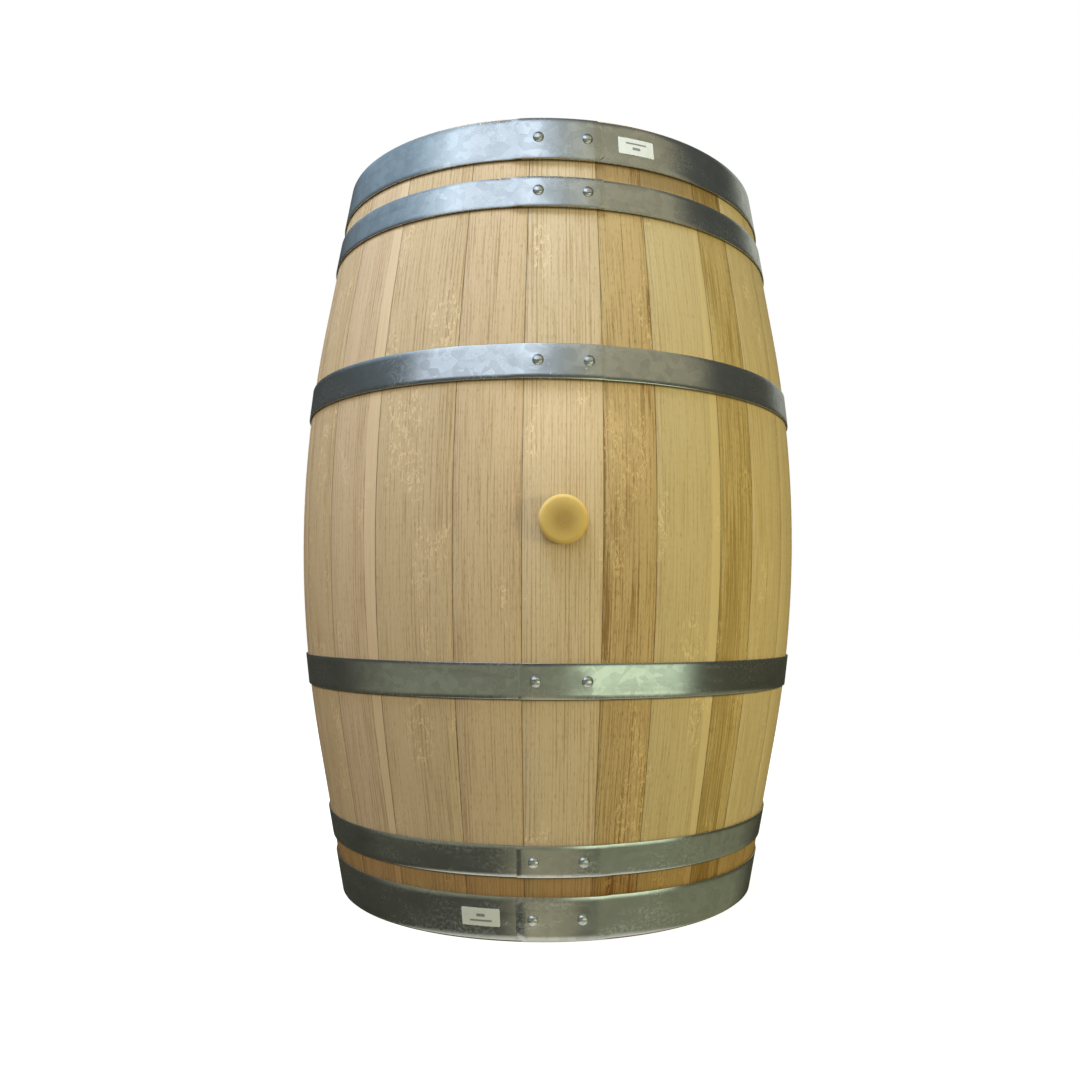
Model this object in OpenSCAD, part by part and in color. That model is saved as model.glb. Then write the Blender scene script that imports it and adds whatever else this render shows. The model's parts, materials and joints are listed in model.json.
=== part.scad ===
// Oak wine barrel of the 225 litre Bordeaux kind, standing on its lower chime.
// The origin is the centre of the lower end plane and +Z is the barrel's axis.
// The bung stave faces -Y, and the bung pulls out along -Y.

/* [Barrel] */
// Length of the staves, end to end
barrel_l = 950; // [800:1:1140]
// Outside diameter of the wood at the bilge, its widest place
bilge_d = 683; // [600:1:820]
// Outside diameter of the wood at the two ends
head_d = 562; // [470:1:640]
// Length of the bent middle of a stave; past it the stave is straight
bend_l = 560; // [300:1:700]

/* [Staves] */
// Thickness of a stave
stave_t = 27; // [24:0.5:33]
// Wood left at the end face, outside the chime bevel
chime_t = 12; // [8:0.5:16]
// Height of the bevel inside the chime
chime_bevel_h = 18; // [8:0.5:22]
// Wood left behind the howel, the smoothed band that the croze is cut in
howel_t = 25; // [22:0.5:26]
// Length of the howel past the croze
howel_run = 8; // [4:0.5:20]
// Depth of the croze, the groove that holds the head
croze_depth = 5; // [3:0.5:7]

/* [Bung] */
// Diameter of the bung hole at the outside of the bilge
bung_hole_d = 50; // [40:0.5:60]
// Half angle of the tapered hole
bung_taper = 3.5; // [1:0.5:5]
// How far the bung's cap reaches past the rim of its hole
bung_lip = 2; // [1:0.5:8]
// Height of the cap above the wood
bung_cap_h = 13; // [8:0.5:20]
// Reach of the bung's body below the outside of the bilge
bung_reach = 32; // [20:1:45]

/* [Hoops] */
// Thickness of the hoop steel
hoop_t = 2; // [1:0.1:2.5]
// Width of a head hoop
head_hoop_w = 52; // [35:1:62]
// Distance of a head hoop from the end of the staves
head_hoop_at = 2; // [1:0.5:10]
// Width of a quarter hoop
quarter_hoop_w = 37; // [30:1:50]
// Distance of a quarter hoop from the end of the staves
quarter_hoop_at = 77; // [75:1:110]
// Width of a bilge hoop
bilge_hoop_w = 40; // [30:1:55]
// Distance of a bilge hoop from the end of the staves
bilge_hoop_at = 279; // [200:1:320]
// Distance between the two rivets of a lap
rivet_pitch = 56; // [40:1:80]
// Distance from a rivet to the end of the strip
lap_end = 19; // [12:1:30]
// Diameter of a rivet's shank
rivet_d = 6; // [4:0.5:8]
// Diameter of a rivet's domed head
rivet_head_d = 13; // [8:0.2:14]
// Height of a rivet's domed head
rivet_head_h = 3.8; // [2:0.1:5]

/* [Heads] */
// Thickness of a head
head_t = 22; // [18:0.5:26]
// Distance from the end of the staves to the head's outer face
chime_depth = 34; // [28:0.5:45]
// Thickness of the head's edge, in the croze
head_edge_t = 6; // [4:0.5:8]
// Width of the bevel round the head
head_bevel_w = 28; // [18:0.5:36]
// Diameter of the dowels that join the head boards
dowel_d = 8; // [6:0.5:10]
// Length of a dowel
dowel_l = 50; // [40:1:60]
// Distance between the two dowels of one joint
dowel_pitch = 150; // [100:1:200]
// Thickness of the dry reed laid in each joint of a head
reed_t = 0.8; // [0.5:0.1:1.5]
// Distance of the reed's edges from the faces of the head
reed_inset = 3; // [1:0.5:6]

/* [Stock labels] */
// Width of a label, along the hoop
label_w = 45; // [30:1:60]
// Height of a label
label_h = 21; // [15:1:30]
// Distance along the hoop from the lap's middle to the label's middle
label_at = 88; // [75:1:120]

/* [Hidden] */
$fn = 96;

// Clearances
hoop_fit = 0.3;      // hoop to the wood, at the middle of its width
lap_gap = 0.3;       // between the two layers of a lap
rivet_fit = 0.05;    // rivet to its hole and to the hoop under its head
head_fit = 0.3;      // head to the croze
bung_fit = 0.25;     // bung to its hole
cap_gap = 0.5;       // bung's cap to the wood
dowel_fit = 0.1;     // dowel to its hole, round it
dowel_end_gap = 1;   // dowel to the bottom of its hole
reed_fit = 0.05;     // reed to the boards on each side
label_gap = 0.05;    // label to the hoop

// Small features
bend_steps = 16;     // straight steps that follow a stave's bent middle
howel_step = 5;      // slope from the howel back to the full thickness
countersink_d = 9.2; // rivet's foot, flush with the inside of the hoop
countersink_h = 1.4;
joggle_l = 4;        // overlap where the strip steps out over its own other end
joggle_lead = 1;     // the half step before and after that overlap
joggle_gap = 4;      // from the overlap to the strip's inner end
bung_cap_d = bung_hole_d + 2 * bung_lip;
cap_round = 5;       // rounding of the bung cap's top edge
cap_under_round = 2; // rounding of its lower edge
tip_chamfer = 1.5;   // chamfer round the bung's tip
round_step = 15;     // degrees between the points of a rounding
label_t = 0.3;
over = 1;            // how far a cut runs past the solid it cuts

// Widths of the staves at the bilge, counter-clockwise from the bung stave.
// They are planed to fill the round, so only their shares of the sum matter.
stave_widths = [
    90, 63, 90, 59, 84, 75, 66, 95, 78, 57, 86, 72, 93, 81,
    63, 101, 72, 84, 69, 98, 60, 82, 75, 87, 89, 105, 79,
];
stave_count = len(stave_widths);

// Widths of the six boards of a head, as shares of their sum
board_widths = [82, 94, 88, 101, 90, 82];
board_count = len(board_widths);

oak_tones = ["BurlyWood", "Wheat", "Tan", "NavajoWhite"];
head_oak = "BurlyWood";
steel = "LightSlateGray";
rivet_steel = "Silver";
silicone = "DarkKhaki";
dowel_beech = "PeachPuff";
dry_reed = "Khaki";
label_paper = "WhiteSmoke";

function sum_to(list, n) = n <= 0 ? 0 : list[n - 1] + sum_to(list, n - 1);
function arc_angle(length, r) = length / r * 180 / PI;
function two_digits(n) = str(n < 10 ? "0" : "", n);

function stave_name(i) = i == 0 ? "bung_stave" : str("stave_", two_digits(i + 1));
function board_name(end, i) = str(end, "_head_board_", i + 1);

stave_names = [for (i = [0:stave_count - 1]) stave_name(i)];
ends = ["top", "bottom"];
board_names = [for (end = ends, i = [0:board_count - 1]) board_name(end, i)];
hoop_kinds = ["head", "quarter", "bilge"];
hoop_names = [for (end = ends, kind = hoop_kinds) str(end, "_", kind, "_hoop")];
rivet_names = [for (name = hoop_names) str(name, "_rivets")];

// Outline of the wood: a parabola in the bent middle, and its tangents past it.
half_l = barrel_l / 2;
bend_half = bend_l / 2;
bend_rate = (bilge_d - head_d) / 2 / (bend_half * (2 * half_l - bend_half));
end_slope = 2 * bend_rate * bend_half;
function wood_r(z) =
    let (t = abs(z - half_l), bent = min(t, bend_half))
    bilge_d / 2 - bend_rate * bent * bent - end_slope * (t - bent);
function wood_slope(z) =
    -2 * bend_rate * sign(z - half_l) * min(abs(z - half_l), bend_half);

// Head and croze. The sides of the croze follow the bevel of the head.
croze_z = chime_depth + head_t / 2;
croze_r = wood_r(croze_z) - howel_t + croze_depth;
head_r = croze_r - head_fit;
bevel_slope = (head_t - head_edge_t) / 2 / head_bevel_w;
croze_half = head_edge_t / 2 + head_fit;
croze_run = croze_depth + croze_half / bevel_slope;
mouth_out = croze_run / (1 / bevel_slope - end_slope);
mouth_in = croze_run / (1 / bevel_slope + end_slope);
howel_end = croze_z + mouth_in + howel_run;

// Inside of a stave at its lower end, as [z, r] from the end plane inwards
function howel_point(z) = [z, wood_r(z) - howel_t];
chime_inside = [
    [0, head_d / 2 - chime_t],
    howel_point(chime_bevel_h),
    howel_point(croze_z - mouth_out),
    [croze_z - croze_half, croze_r],
    [croze_z + croze_half, croze_r],
    howel_point(croze_z + mouth_in),
    howel_point(howel_end),
    [howel_end + howel_step, wood_r(howel_end + howel_step) - stave_t],
];
bend_zs = [for (i = [0:bend_steps]) half_l - bend_half + bend_l * i / bend_steps];

module stave_outline() {
    outside = concat(
        [[head_d / 2, 0]],
        [for (z = bend_zs) [wood_r(z), z]],
        [[head_d / 2, barrel_l]]);
    upper_inside = [for (p = chime_inside) [p[1], barrel_l - p[0]]];
    bent_inside = [for (i = [bend_steps:-1:0]) [wood_r(bend_zs[i]) - stave_t, bend_zs[i]]];
    last = len(chime_inside) - 1;
    lower_inside = [for (i = [last:-1:0]) [chime_inside[i][1], chime_inside[i][0]]];
    polygon(concat(outside, upper_inside, bent_inside, lower_inside));
}

// A stave's joint faces are planes through the barrel's axis.
stave_total = sum_to(stave_widths, stave_count);
function stave_angle(i) = 360 * stave_widths[i] / stave_total;
function stave_start(i) = (360 * sum_to(stave_widths, i) - 180 * stave_widths[0]) / stave_total;

module stave(i) {
    color(oak_tones[i % len(oak_tones)])
        difference() {
            rotate([0, 0, stave_start(i) - 90])
                rotate_extrude(angle = stave_angle(i))
                    stave_outline();
            if (i == 0) bung_hole();
        }
}

// Puts a shape's +Z along the bung's axis, with its origin at the outside of the bilge.
module at_bung() {
    translate([0, -bilge_d / 2, half_l])
        rotate([90, 0, 0])
            children();
}

function bung_hole_r(z) = bung_hole_d / 2 + z * tan(bung_taper);

// Inside the hole's rim the staves lie deeper than at its middle, by the curve of the bilge.
module bung_hole() {
    curve = bilge_d / 2 - sqrt(pow(bilge_d / 2, 2) - pow(bung_hole_d / 2, 2));
    depth = stave_t + curve + over;
    at_bung()
        translate([0, 0, -depth])
            cylinder(h = depth + over, r1 = bung_hole_r(-depth), r2 = bung_hole_r(over));
}

function rounding(centre_r, centre_z, radius, from) =
    [for (a = [from:round_step:from + 90]) [centre_r + radius * cos(a), centre_z + radius * sin(a)]];

module bung() {
    tip_r = bung_hole_r(-bung_reach) - bung_fit;
    neck_r = bung_hole_r(cap_gap) - bung_fit;
    cap_r = bung_cap_d / 2;
    color(silicone)
        at_bung()
            rotate_extrude()
                polygon(concat(
                    [[0, -bung_reach], [tip_r - tip_chamfer, -bung_reach]],
                    [[tip_r, tip_chamfer - bung_reach], [neck_r, cap_gap]],
                    rounding(max(cap_r, neck_r + cap_under_round) - cap_under_round,
                        cap_gap + cap_under_round, cap_under_round, -90),
                    rounding(max(cap_r, neck_r + cap_under_round) - cap_round,
                        bung_cap_h - cap_round, cap_round, 0),
                    [[0, bung_cap_h]]));
}

// Hoops. All sizes here are for the top end, and the bottom end is the same part
// turned over about the bung's axis.
module at_end(end) {
    if (end == "top")
        children();
    else
        translate([0, 0, barrel_l])
            rotate([0, 180, 0])
                children();
}

function hoop_at(kind) =
    kind == "head" ? head_hoop_at : kind == "quarter" ? quarter_hoop_at : bilge_hoop_at;
function hoop_w(kind) =
    kind == "head" ? head_hoop_w : kind == "quarter" ? quarter_hoop_w : bilge_hoop_w;
function hoop_mid(kind) = barrel_l - hoop_at(kind) - hoop_w(kind) / 2;

// The hoop is a cone that touches the curve of the wood at the middle of its width.
function hoop_r(kind, z) =
    wood_r(hoop_mid(kind)) + wood_slope(hoop_mid(kind)) * (z - hoop_mid(kind)) + hoop_fit;
function hoop_lean(kind) = atan(-wood_slope(hoop_mid(kind)));
function hoop_angle(kind, length) = arc_angle(length, hoop_r(kind, hoop_mid(kind)));

// A strip of the hoop's cone from angle a0 to a1. Inner and outer are measured
// square to the cone, from the inside of the hoop.
module band(kind, a0, a1, inner, outer, width) {
    z0 = hoop_mid(kind) - width / 2;
    z1 = hoop_mid(kind) + width / 2;
    in_r = inner / cos(hoop_lean(kind));
    out_r = outer / cos(hoop_lean(kind));
    rotate([0, 0, a0 - 90])
        rotate_extrude(angle = a1 - a0)
            polygon([
                [hoop_r(kind, z0) + in_r, z0], [hoop_r(kind, z0) + out_r, z0],
                [hoop_r(kind, z1) + out_r, z1], [hoop_r(kind, z1) + in_r, z1],
            ]);
}

// Puts a shape's +Z along each rivet of a lap and its +X along the strip, with its
// origin at the hoop's inside.
module at_rivets(kind) {
    for (side = [-1, 1])
        rotate([0, 0, side * hoop_angle(kind, rivet_pitch / 2) - 90])
            translate([hoop_r(kind, hoop_mid(kind)), 0, hoop_mid(kind)])
                rotate([0, 90 - hoop_lean(kind), 0])
                    rotate([0, 0, 90])
                        children();
}

lap_t = 2 * hoop_t + lap_gap;

// The strip's first end lies on the wood. Its last end steps out over the first.
module hoop(kind) {
    lap = hoop_angle(kind, rivet_pitch / 2 + lap_end);
    step_end = 360 - lap - hoop_angle(kind, joggle_gap);
    step_start = step_end - hoop_angle(kind, joggle_l);
    lead = hoop_angle(kind, joggle_lead);
    half_t = hoop_t / 2;
    color(steel)
        difference() {
            union() {
                band(kind, -lap, step_end, 0, hoop_t, hoop_w(kind));
                band(kind, step_start - lead, step_end + lead, half_t, lap_t - half_t, hoop_w(kind));
                band(kind, step_start, 360 + lap, lap_t - hoop_t, lap_t, hoop_w(kind));
            }
            at_rivets(kind)
                rivet_core(rivet_fit, lap_t + over);
        }
}

// Shank with its countersunk foot, grown by fit all round
module rivet_core(fit, length) {
    foot_r = countersink_d / 2 + fit;
    shank_r = rivet_d / 2 + fit;
    flare = (foot_r - shank_r) / countersink_h;
    sunk = fit > 0 ? over : 0;
    translate([0, 0, -sunk])
        cylinder(h = countersink_h + sunk, r1 = foot_r + flare * sunk, r2 = shank_r);
    cylinder(h = length, r = shank_r);
}

module rivets(kind) {
    head_r = rivet_head_d / 2;
    dome_r = (head_r * head_r + rivet_head_h * rivet_head_h) / (2 * rivet_head_h);
    base = lap_t + rivet_fit;
    color(rivet_steel)
        at_rivets(kind) {
            rivet_core(0, base);
            translate([0, 0, base])
                intersection() {
                    translate([0, 0, rivet_head_h - dome_r]) sphere(r = dome_r);
                    cylinder(h = rivet_head_h + over, r = head_r + over);
                }
        }
}

// Heads. Each is drawn about its own middle and then put in its croze.
module at_head(end) {
    at_end(end)
        translate([0, 0, barrel_l - croze_z])
            children();
}

board_total = sum_to(board_widths, board_count);
function joint_x(i) = head_r * (2 * sum_to(board_widths, i) / board_total - 1);

module head_disc() {
    rotate_extrude()
        polygon([
            [0, -head_t / 2], [head_r - head_bevel_w, -head_t / 2], [head_r, -head_edge_t / 2],
            [head_r, head_edge_t / 2], [head_r - head_bevel_w, head_t / 2], [0, head_t / 2],
        ]);
}

// The dowels of joint i, grown by fit round them and by end_gap at each end
module dowel_pair(i, fit, end_gap) {
    for (side = [-1, 1])
        translate([joint_x(i), side * dowel_pitch / 2, 0])
            rotate([0, 90, 0])
                cylinder(h = dowel_l + 2 * end_gap, r = dowel_d / 2 + fit, center = true);
}

module head_board(i) {
    joint_half = reed_t / 2 + reed_fit;
    first = i == 0;
    last = i == board_count - 1;
    x0 = first ? -head_r - over : joint_x(i) + joint_half;
    x1 = last ? head_r + over : joint_x(i + 1) - joint_half;
    color(head_oak)
        difference() {
            intersection() {
                head_disc();
                translate([x0, -head_r - over, -head_t])
                    cube([x1 - x0, 2 * (head_r + over), 2 * head_t]);
            }
            if (!first) dowel_pair(i, dowel_fit, dowel_end_gap);
            if (!last) dowel_pair(i + 1, dowel_fit, dowel_end_gap);
        }
}

module head_dowels() {
    color(dowel_beech)
        for (i = [1:board_count - 1]) dowel_pair(i, 0, 0);
}

module head_reeds() {
    reach = head_r - head_bevel_w;
    color(dry_reed)
        for (i = [1:board_count - 1])
            difference() {
                intersection() {
                    cylinder(h = head_t - 2 * reed_inset, r = reach, center = true);
                    translate([joint_x(i), 0, 0])
                        cube([reed_t, 2 * head_r, head_t], center = true);
                }
                dowel_pair(i, dowel_fit, dowel_end_gap);
            }
}

// A label on a head hoop, beside the lap, on the side where the strip ends
module stock_label() {
    centre = hoop_angle("head", label_at);
    half = hoop_angle("head", label_w / 2);
    inside = hoop_t + label_gap;
    color(label_paper)
        band("head", centre - half, centre + half, inside, inside + label_t, label_h);
}

for (i = [0:stave_count - 1])
    stave(i);

for (end = ends) {
    for (kind = hoop_kinds) {
        at_end(end) hoop(kind);
        at_end(end) rivets(kind);
    }
    for (i = [0:board_count - 1])
        at_head(end) head_board(i);
    at_head(end) head_dowels();
    at_head(end) head_reeds();
}

bung();
for (end = ends) at_end(end) stock_label();  // stock_labels
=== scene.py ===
"""Looks of an oak wine barrel that stands upright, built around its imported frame.

Every piece is made flat, as a cooper makes it, and then bent or rolled to its place. All sizes
are in metres. The barrel's axis is +Z, and the bung faces -Y.
"""
import json
import logging
import math
from dataclasses import dataclass, field
from enum import Enum
from typing import Callable, Iterable, Optional, Sequence, Union

import bmesh
import bpy
from mathutils import Matrix, Quaternion, Vector


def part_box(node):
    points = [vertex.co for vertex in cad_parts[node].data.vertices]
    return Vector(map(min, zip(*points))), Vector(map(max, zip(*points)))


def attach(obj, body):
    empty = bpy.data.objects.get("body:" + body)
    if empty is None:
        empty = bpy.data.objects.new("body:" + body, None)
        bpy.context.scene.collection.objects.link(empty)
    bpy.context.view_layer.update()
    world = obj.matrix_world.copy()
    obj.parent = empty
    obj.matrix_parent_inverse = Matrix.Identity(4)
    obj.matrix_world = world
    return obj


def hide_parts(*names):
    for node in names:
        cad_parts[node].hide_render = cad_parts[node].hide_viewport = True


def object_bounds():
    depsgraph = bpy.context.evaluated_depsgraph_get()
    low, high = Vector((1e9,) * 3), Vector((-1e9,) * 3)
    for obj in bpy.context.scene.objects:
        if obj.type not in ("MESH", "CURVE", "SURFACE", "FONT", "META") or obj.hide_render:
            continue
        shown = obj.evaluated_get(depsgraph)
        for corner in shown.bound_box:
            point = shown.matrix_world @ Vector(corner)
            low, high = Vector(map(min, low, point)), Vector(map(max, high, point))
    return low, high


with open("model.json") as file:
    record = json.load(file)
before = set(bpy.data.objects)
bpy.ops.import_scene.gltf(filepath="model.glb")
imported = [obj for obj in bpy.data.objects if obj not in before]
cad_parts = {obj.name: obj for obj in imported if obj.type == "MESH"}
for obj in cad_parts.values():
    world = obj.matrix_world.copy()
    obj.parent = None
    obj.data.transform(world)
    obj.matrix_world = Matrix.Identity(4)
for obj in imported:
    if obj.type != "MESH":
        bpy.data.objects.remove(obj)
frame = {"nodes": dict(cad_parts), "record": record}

CAD_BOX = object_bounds()
LOG = logging.getLogger("barrel")

Colour = tuple[float, float, float]
Socket = bpy.types.NodeSocket
Value = Union[Socket, float]
Shade = Union[Socket, Colour]

BODY = "barrel"
BUNG_BODY = "bung"
FRONT = -math.pi / 2
HOOP_KINDS = ("head", "quarter", "bilge")
NO_JOINT = 1.0
TOUCH = 1e-5
DOWEL_LONG = 0.06
DOWEL_APART = 0.02
MIX_BELOW, MIX_ABOVE, MIX_RESULT = 6, 7, 2


def smooth_step(low: float, high: float, value: float) -> float:
    """Eases from 0 at low to 1 at high."""
    t = min(max((value - low) / (high - low), 0.0), 1.0)
    return t * t * (3 - 2 * t)


# ------------------------------------------------------------------ node bench


class NodeBench:
    """Lays out the nodes of one material with short calls."""

    def __init__(self, name: str) -> None:
        """Starts a material that holds a Principled shader.

        Args:
            name: the material's name.
        """
        self.material = bpy.data.materials.new(name)
        self.material.use_nodes = True
        self.tree = self.material.node_tree
        self.shader = self.tree.nodes["Principled BSDF"]

    def put(self, kind: str, **settings: object) -> bpy.types.Node:
        """Adds a node.

        Args:
            kind: the node's type, without the leading "ShaderNode".
            settings: properties of the node.

        Returns:
            The new node.
        """
        node = self.tree.nodes.new("ShaderNode" + kind)
        for key, value in settings.items():
            setattr(node, key, value)
        return node

    def feed(self, socket: Socket, value: object) -> None:
        """Links a socket, or sets it where the value is a constant.

        Args:
            socket: the input socket.
            value: another node's output, a number or a colour.
        """
        if isinstance(value, bpy.types.NodeSocket):
            self.tree.links.new(value, socket)
        elif socket.type == "RGBA" and len(value) == 3:
            socket.default_value = (*value, 1.0)
        else:
            socket.default_value = value

    def attribute(self, name: str) -> Socket:
        """Reads a vector that the piece carries."""
        return self.put("Attribute", attribute_name=name).outputs["Vector"]

    def place(self) -> Socket:
        """Reads the point's place in the barrel's own frame."""
        return self.put("TexCoord").outputs["Object"]

    def math(self, operation: str, a: Value, b: Value = 0.0, clamp: bool = False) -> Socket:
        """Combines two numbers.

        Args:
            operation: the Math node's operation.
            a: the first number.
            b: the second number.
            clamp: keeps the result from 0 to 1.

        Returns:
            The result's socket.
        """
        node = self.put("Math", operation=operation, use_clamp=clamp)
        self.feed(node.inputs[0], a)
        self.feed(node.inputs[1], b)
        return node.outputs[0]

    def stretch(self, vector: Socket, factors: Colour, offset: Colour = (0, 0, 0)) -> Socket:
        """Multiplies a vector by factors, and then adds an offset.

        Args:
            vector: the vector.
            factors: its three factors.
            offset: what is added after that.

        Returns:
            The new vector's socket.
        """
        node = self.put("VectorMath", operation="MULTIPLY_ADD")
        self.feed(node.inputs[0], vector)
        node.inputs[1].default_value = factors
        node.inputs[2].default_value = offset
        return node.outputs[0]

    def split(self, vector: Socket) -> tuple[Socket, Socket, Socket]:
        """Splits a vector into its three numbers.

        Args:
            vector: the vector.

        Returns:
            The sockets of its three numbers.
        """
        node = self.put("SeparateXYZ")
        self.feed(node.inputs[0], vector)
        return node.outputs[0], node.outputs[1], node.outputs[2]

    def join(self, x: Value, y: Value, z: Value) -> Socket:
        """Makes a vector of three numbers.

        Args:
            x: the first number.
            y: the second number.
            z: the third number.

        Returns:
            The vector's socket.
        """
        node = self.put("CombineXYZ")
        for socket, value in zip(node.inputs, (x, y, z)):
            self.feed(socket, value)
        return node.outputs[0]

    def noise(self, vector: Socket, detail: float = 2.0, rough: float = 0.5,
              twist: float = 0.0) -> Socket:
        """Cloudy noise about 0.5.

        Args:
            vector: where it is read, already scaled.
            detail: its number of finer layers.
            rough: the weight of the finer layers.
            twist: how far it distorts itself.

        Returns:
            The noise's socket.
        """
        node = self.put("TexNoise")
        self.feed(node.inputs["Vector"], vector)
        node.inputs["Scale"].default_value = 1.0
        node.inputs["Detail"].default_value = detail
        node.inputs["Roughness"].default_value = rough
        node.inputs["Distortion"].default_value = twist
        return node.outputs["Fac"]

    def ease(self, value: Value, low: float, high: float, to_low: float = 0.0,
             to_high: float = 1.0) -> Socket:
        """Eases a number from one range to another, and clamps it there.

        Args:
            value: the number.
            low: its value at the start of the range.
            high: its value at the end of the range.
            to_low: the result at the start.
            to_high: the result at the end.

        Returns:
            The result's socket.
        """
        node = self.put("MapRange", interpolation_type="SMOOTHSTEP")
        self.feed(node.inputs["Value"], value)
        node.inputs["From Min"].default_value = low
        node.inputs["From Max"].default_value = high
        node.inputs["To Min"].default_value = to_low
        node.inputs["To Max"].default_value = to_high
        return node.outputs[0]

    def blend(self, factor: Value, below: Shade, above: Shade, mode: str = "MIX") -> Socket:
        """Mixes two colours.

        Args:
            factor: how much of the colour above shows.
            below: the colour below.
            above: the colour above.
            mode: the Mix node's blend type.

        Returns:
            The colour's socket.
        """
        node = self.put("Mix", data_type="RGBA", blend_type=mode)
        self.feed(node.inputs[0], factor)
        self.feed(node.inputs[MIX_BELOW], below)
        self.feed(node.inputs[MIX_ABOVE], above)
        return node.outputs[MIX_RESULT]

    def bump(self, height: Socket, depth: float, strength: float = 1.0) -> None:
        """Raises the surface by a height from 0 to 1, times a depth in metres.

        Args:
            height: the height.
            depth: how deep a height of 1 is, in metres.
            strength: how much of the bump shows, from 0 to 1.
        """
        node = self.put("Bump")
        self.feed(node.inputs["Height"], height)
        node.inputs["Distance"].default_value = depth
        node.inputs["Strength"].default_value = strength
        self.tree.links.new(node.outputs[0], self.shader.inputs["Normal"])

    def finish(self, colour: Shade, roughness: Value, **constants: object) -> bpy.types.Material:
        """Sets the shader's inputs.

        Args:
            colour: the base colour.
            roughness: the roughness.
            constants: other inputs by name, with _ for a space.

        Returns:
            The finished material.
        """
        self.feed(self.shader.inputs["Base Color"], colour)
        self.feed(self.shader.inputs["Roughness"], roughness)
        for key, value in constants.items():
            self.feed(self.shader.inputs[key.replace("_", " ")], value)
        return self.material


# ------------------------------------------------------------------ finishes


@dataclass(frozen=True)
class OakTone:
    """One log's oak, planed on the quarter.

    The carried vector "plank" holds the distance across the plank from its middle, the depth
    below its outside, and the distance along it. "joint" holds the distance to the plank's left
    edge, to its right edge, and its height.
    """

    pale: Colour = (0.64, 0.485, 0.315)
    deep: Colour = (0.44, 0.295, 0.155)
    ring_pitch: float = 0.0031
    ring_weight: float = 0.5
    fibre_weight: float = 0.85
    pore_weight: float = 0.55
    cloud_weight: float = 0.35
    stroke_weight: float = 0.0
    fleck_weight: float = 0.25
    # how much painted shade darkens the top of the stave, from the gap below the head hoop up
    shaded_top: float = 0.0
    pale_edge: Optional[float] = None
    knot: Optional[Colour] = None


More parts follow.
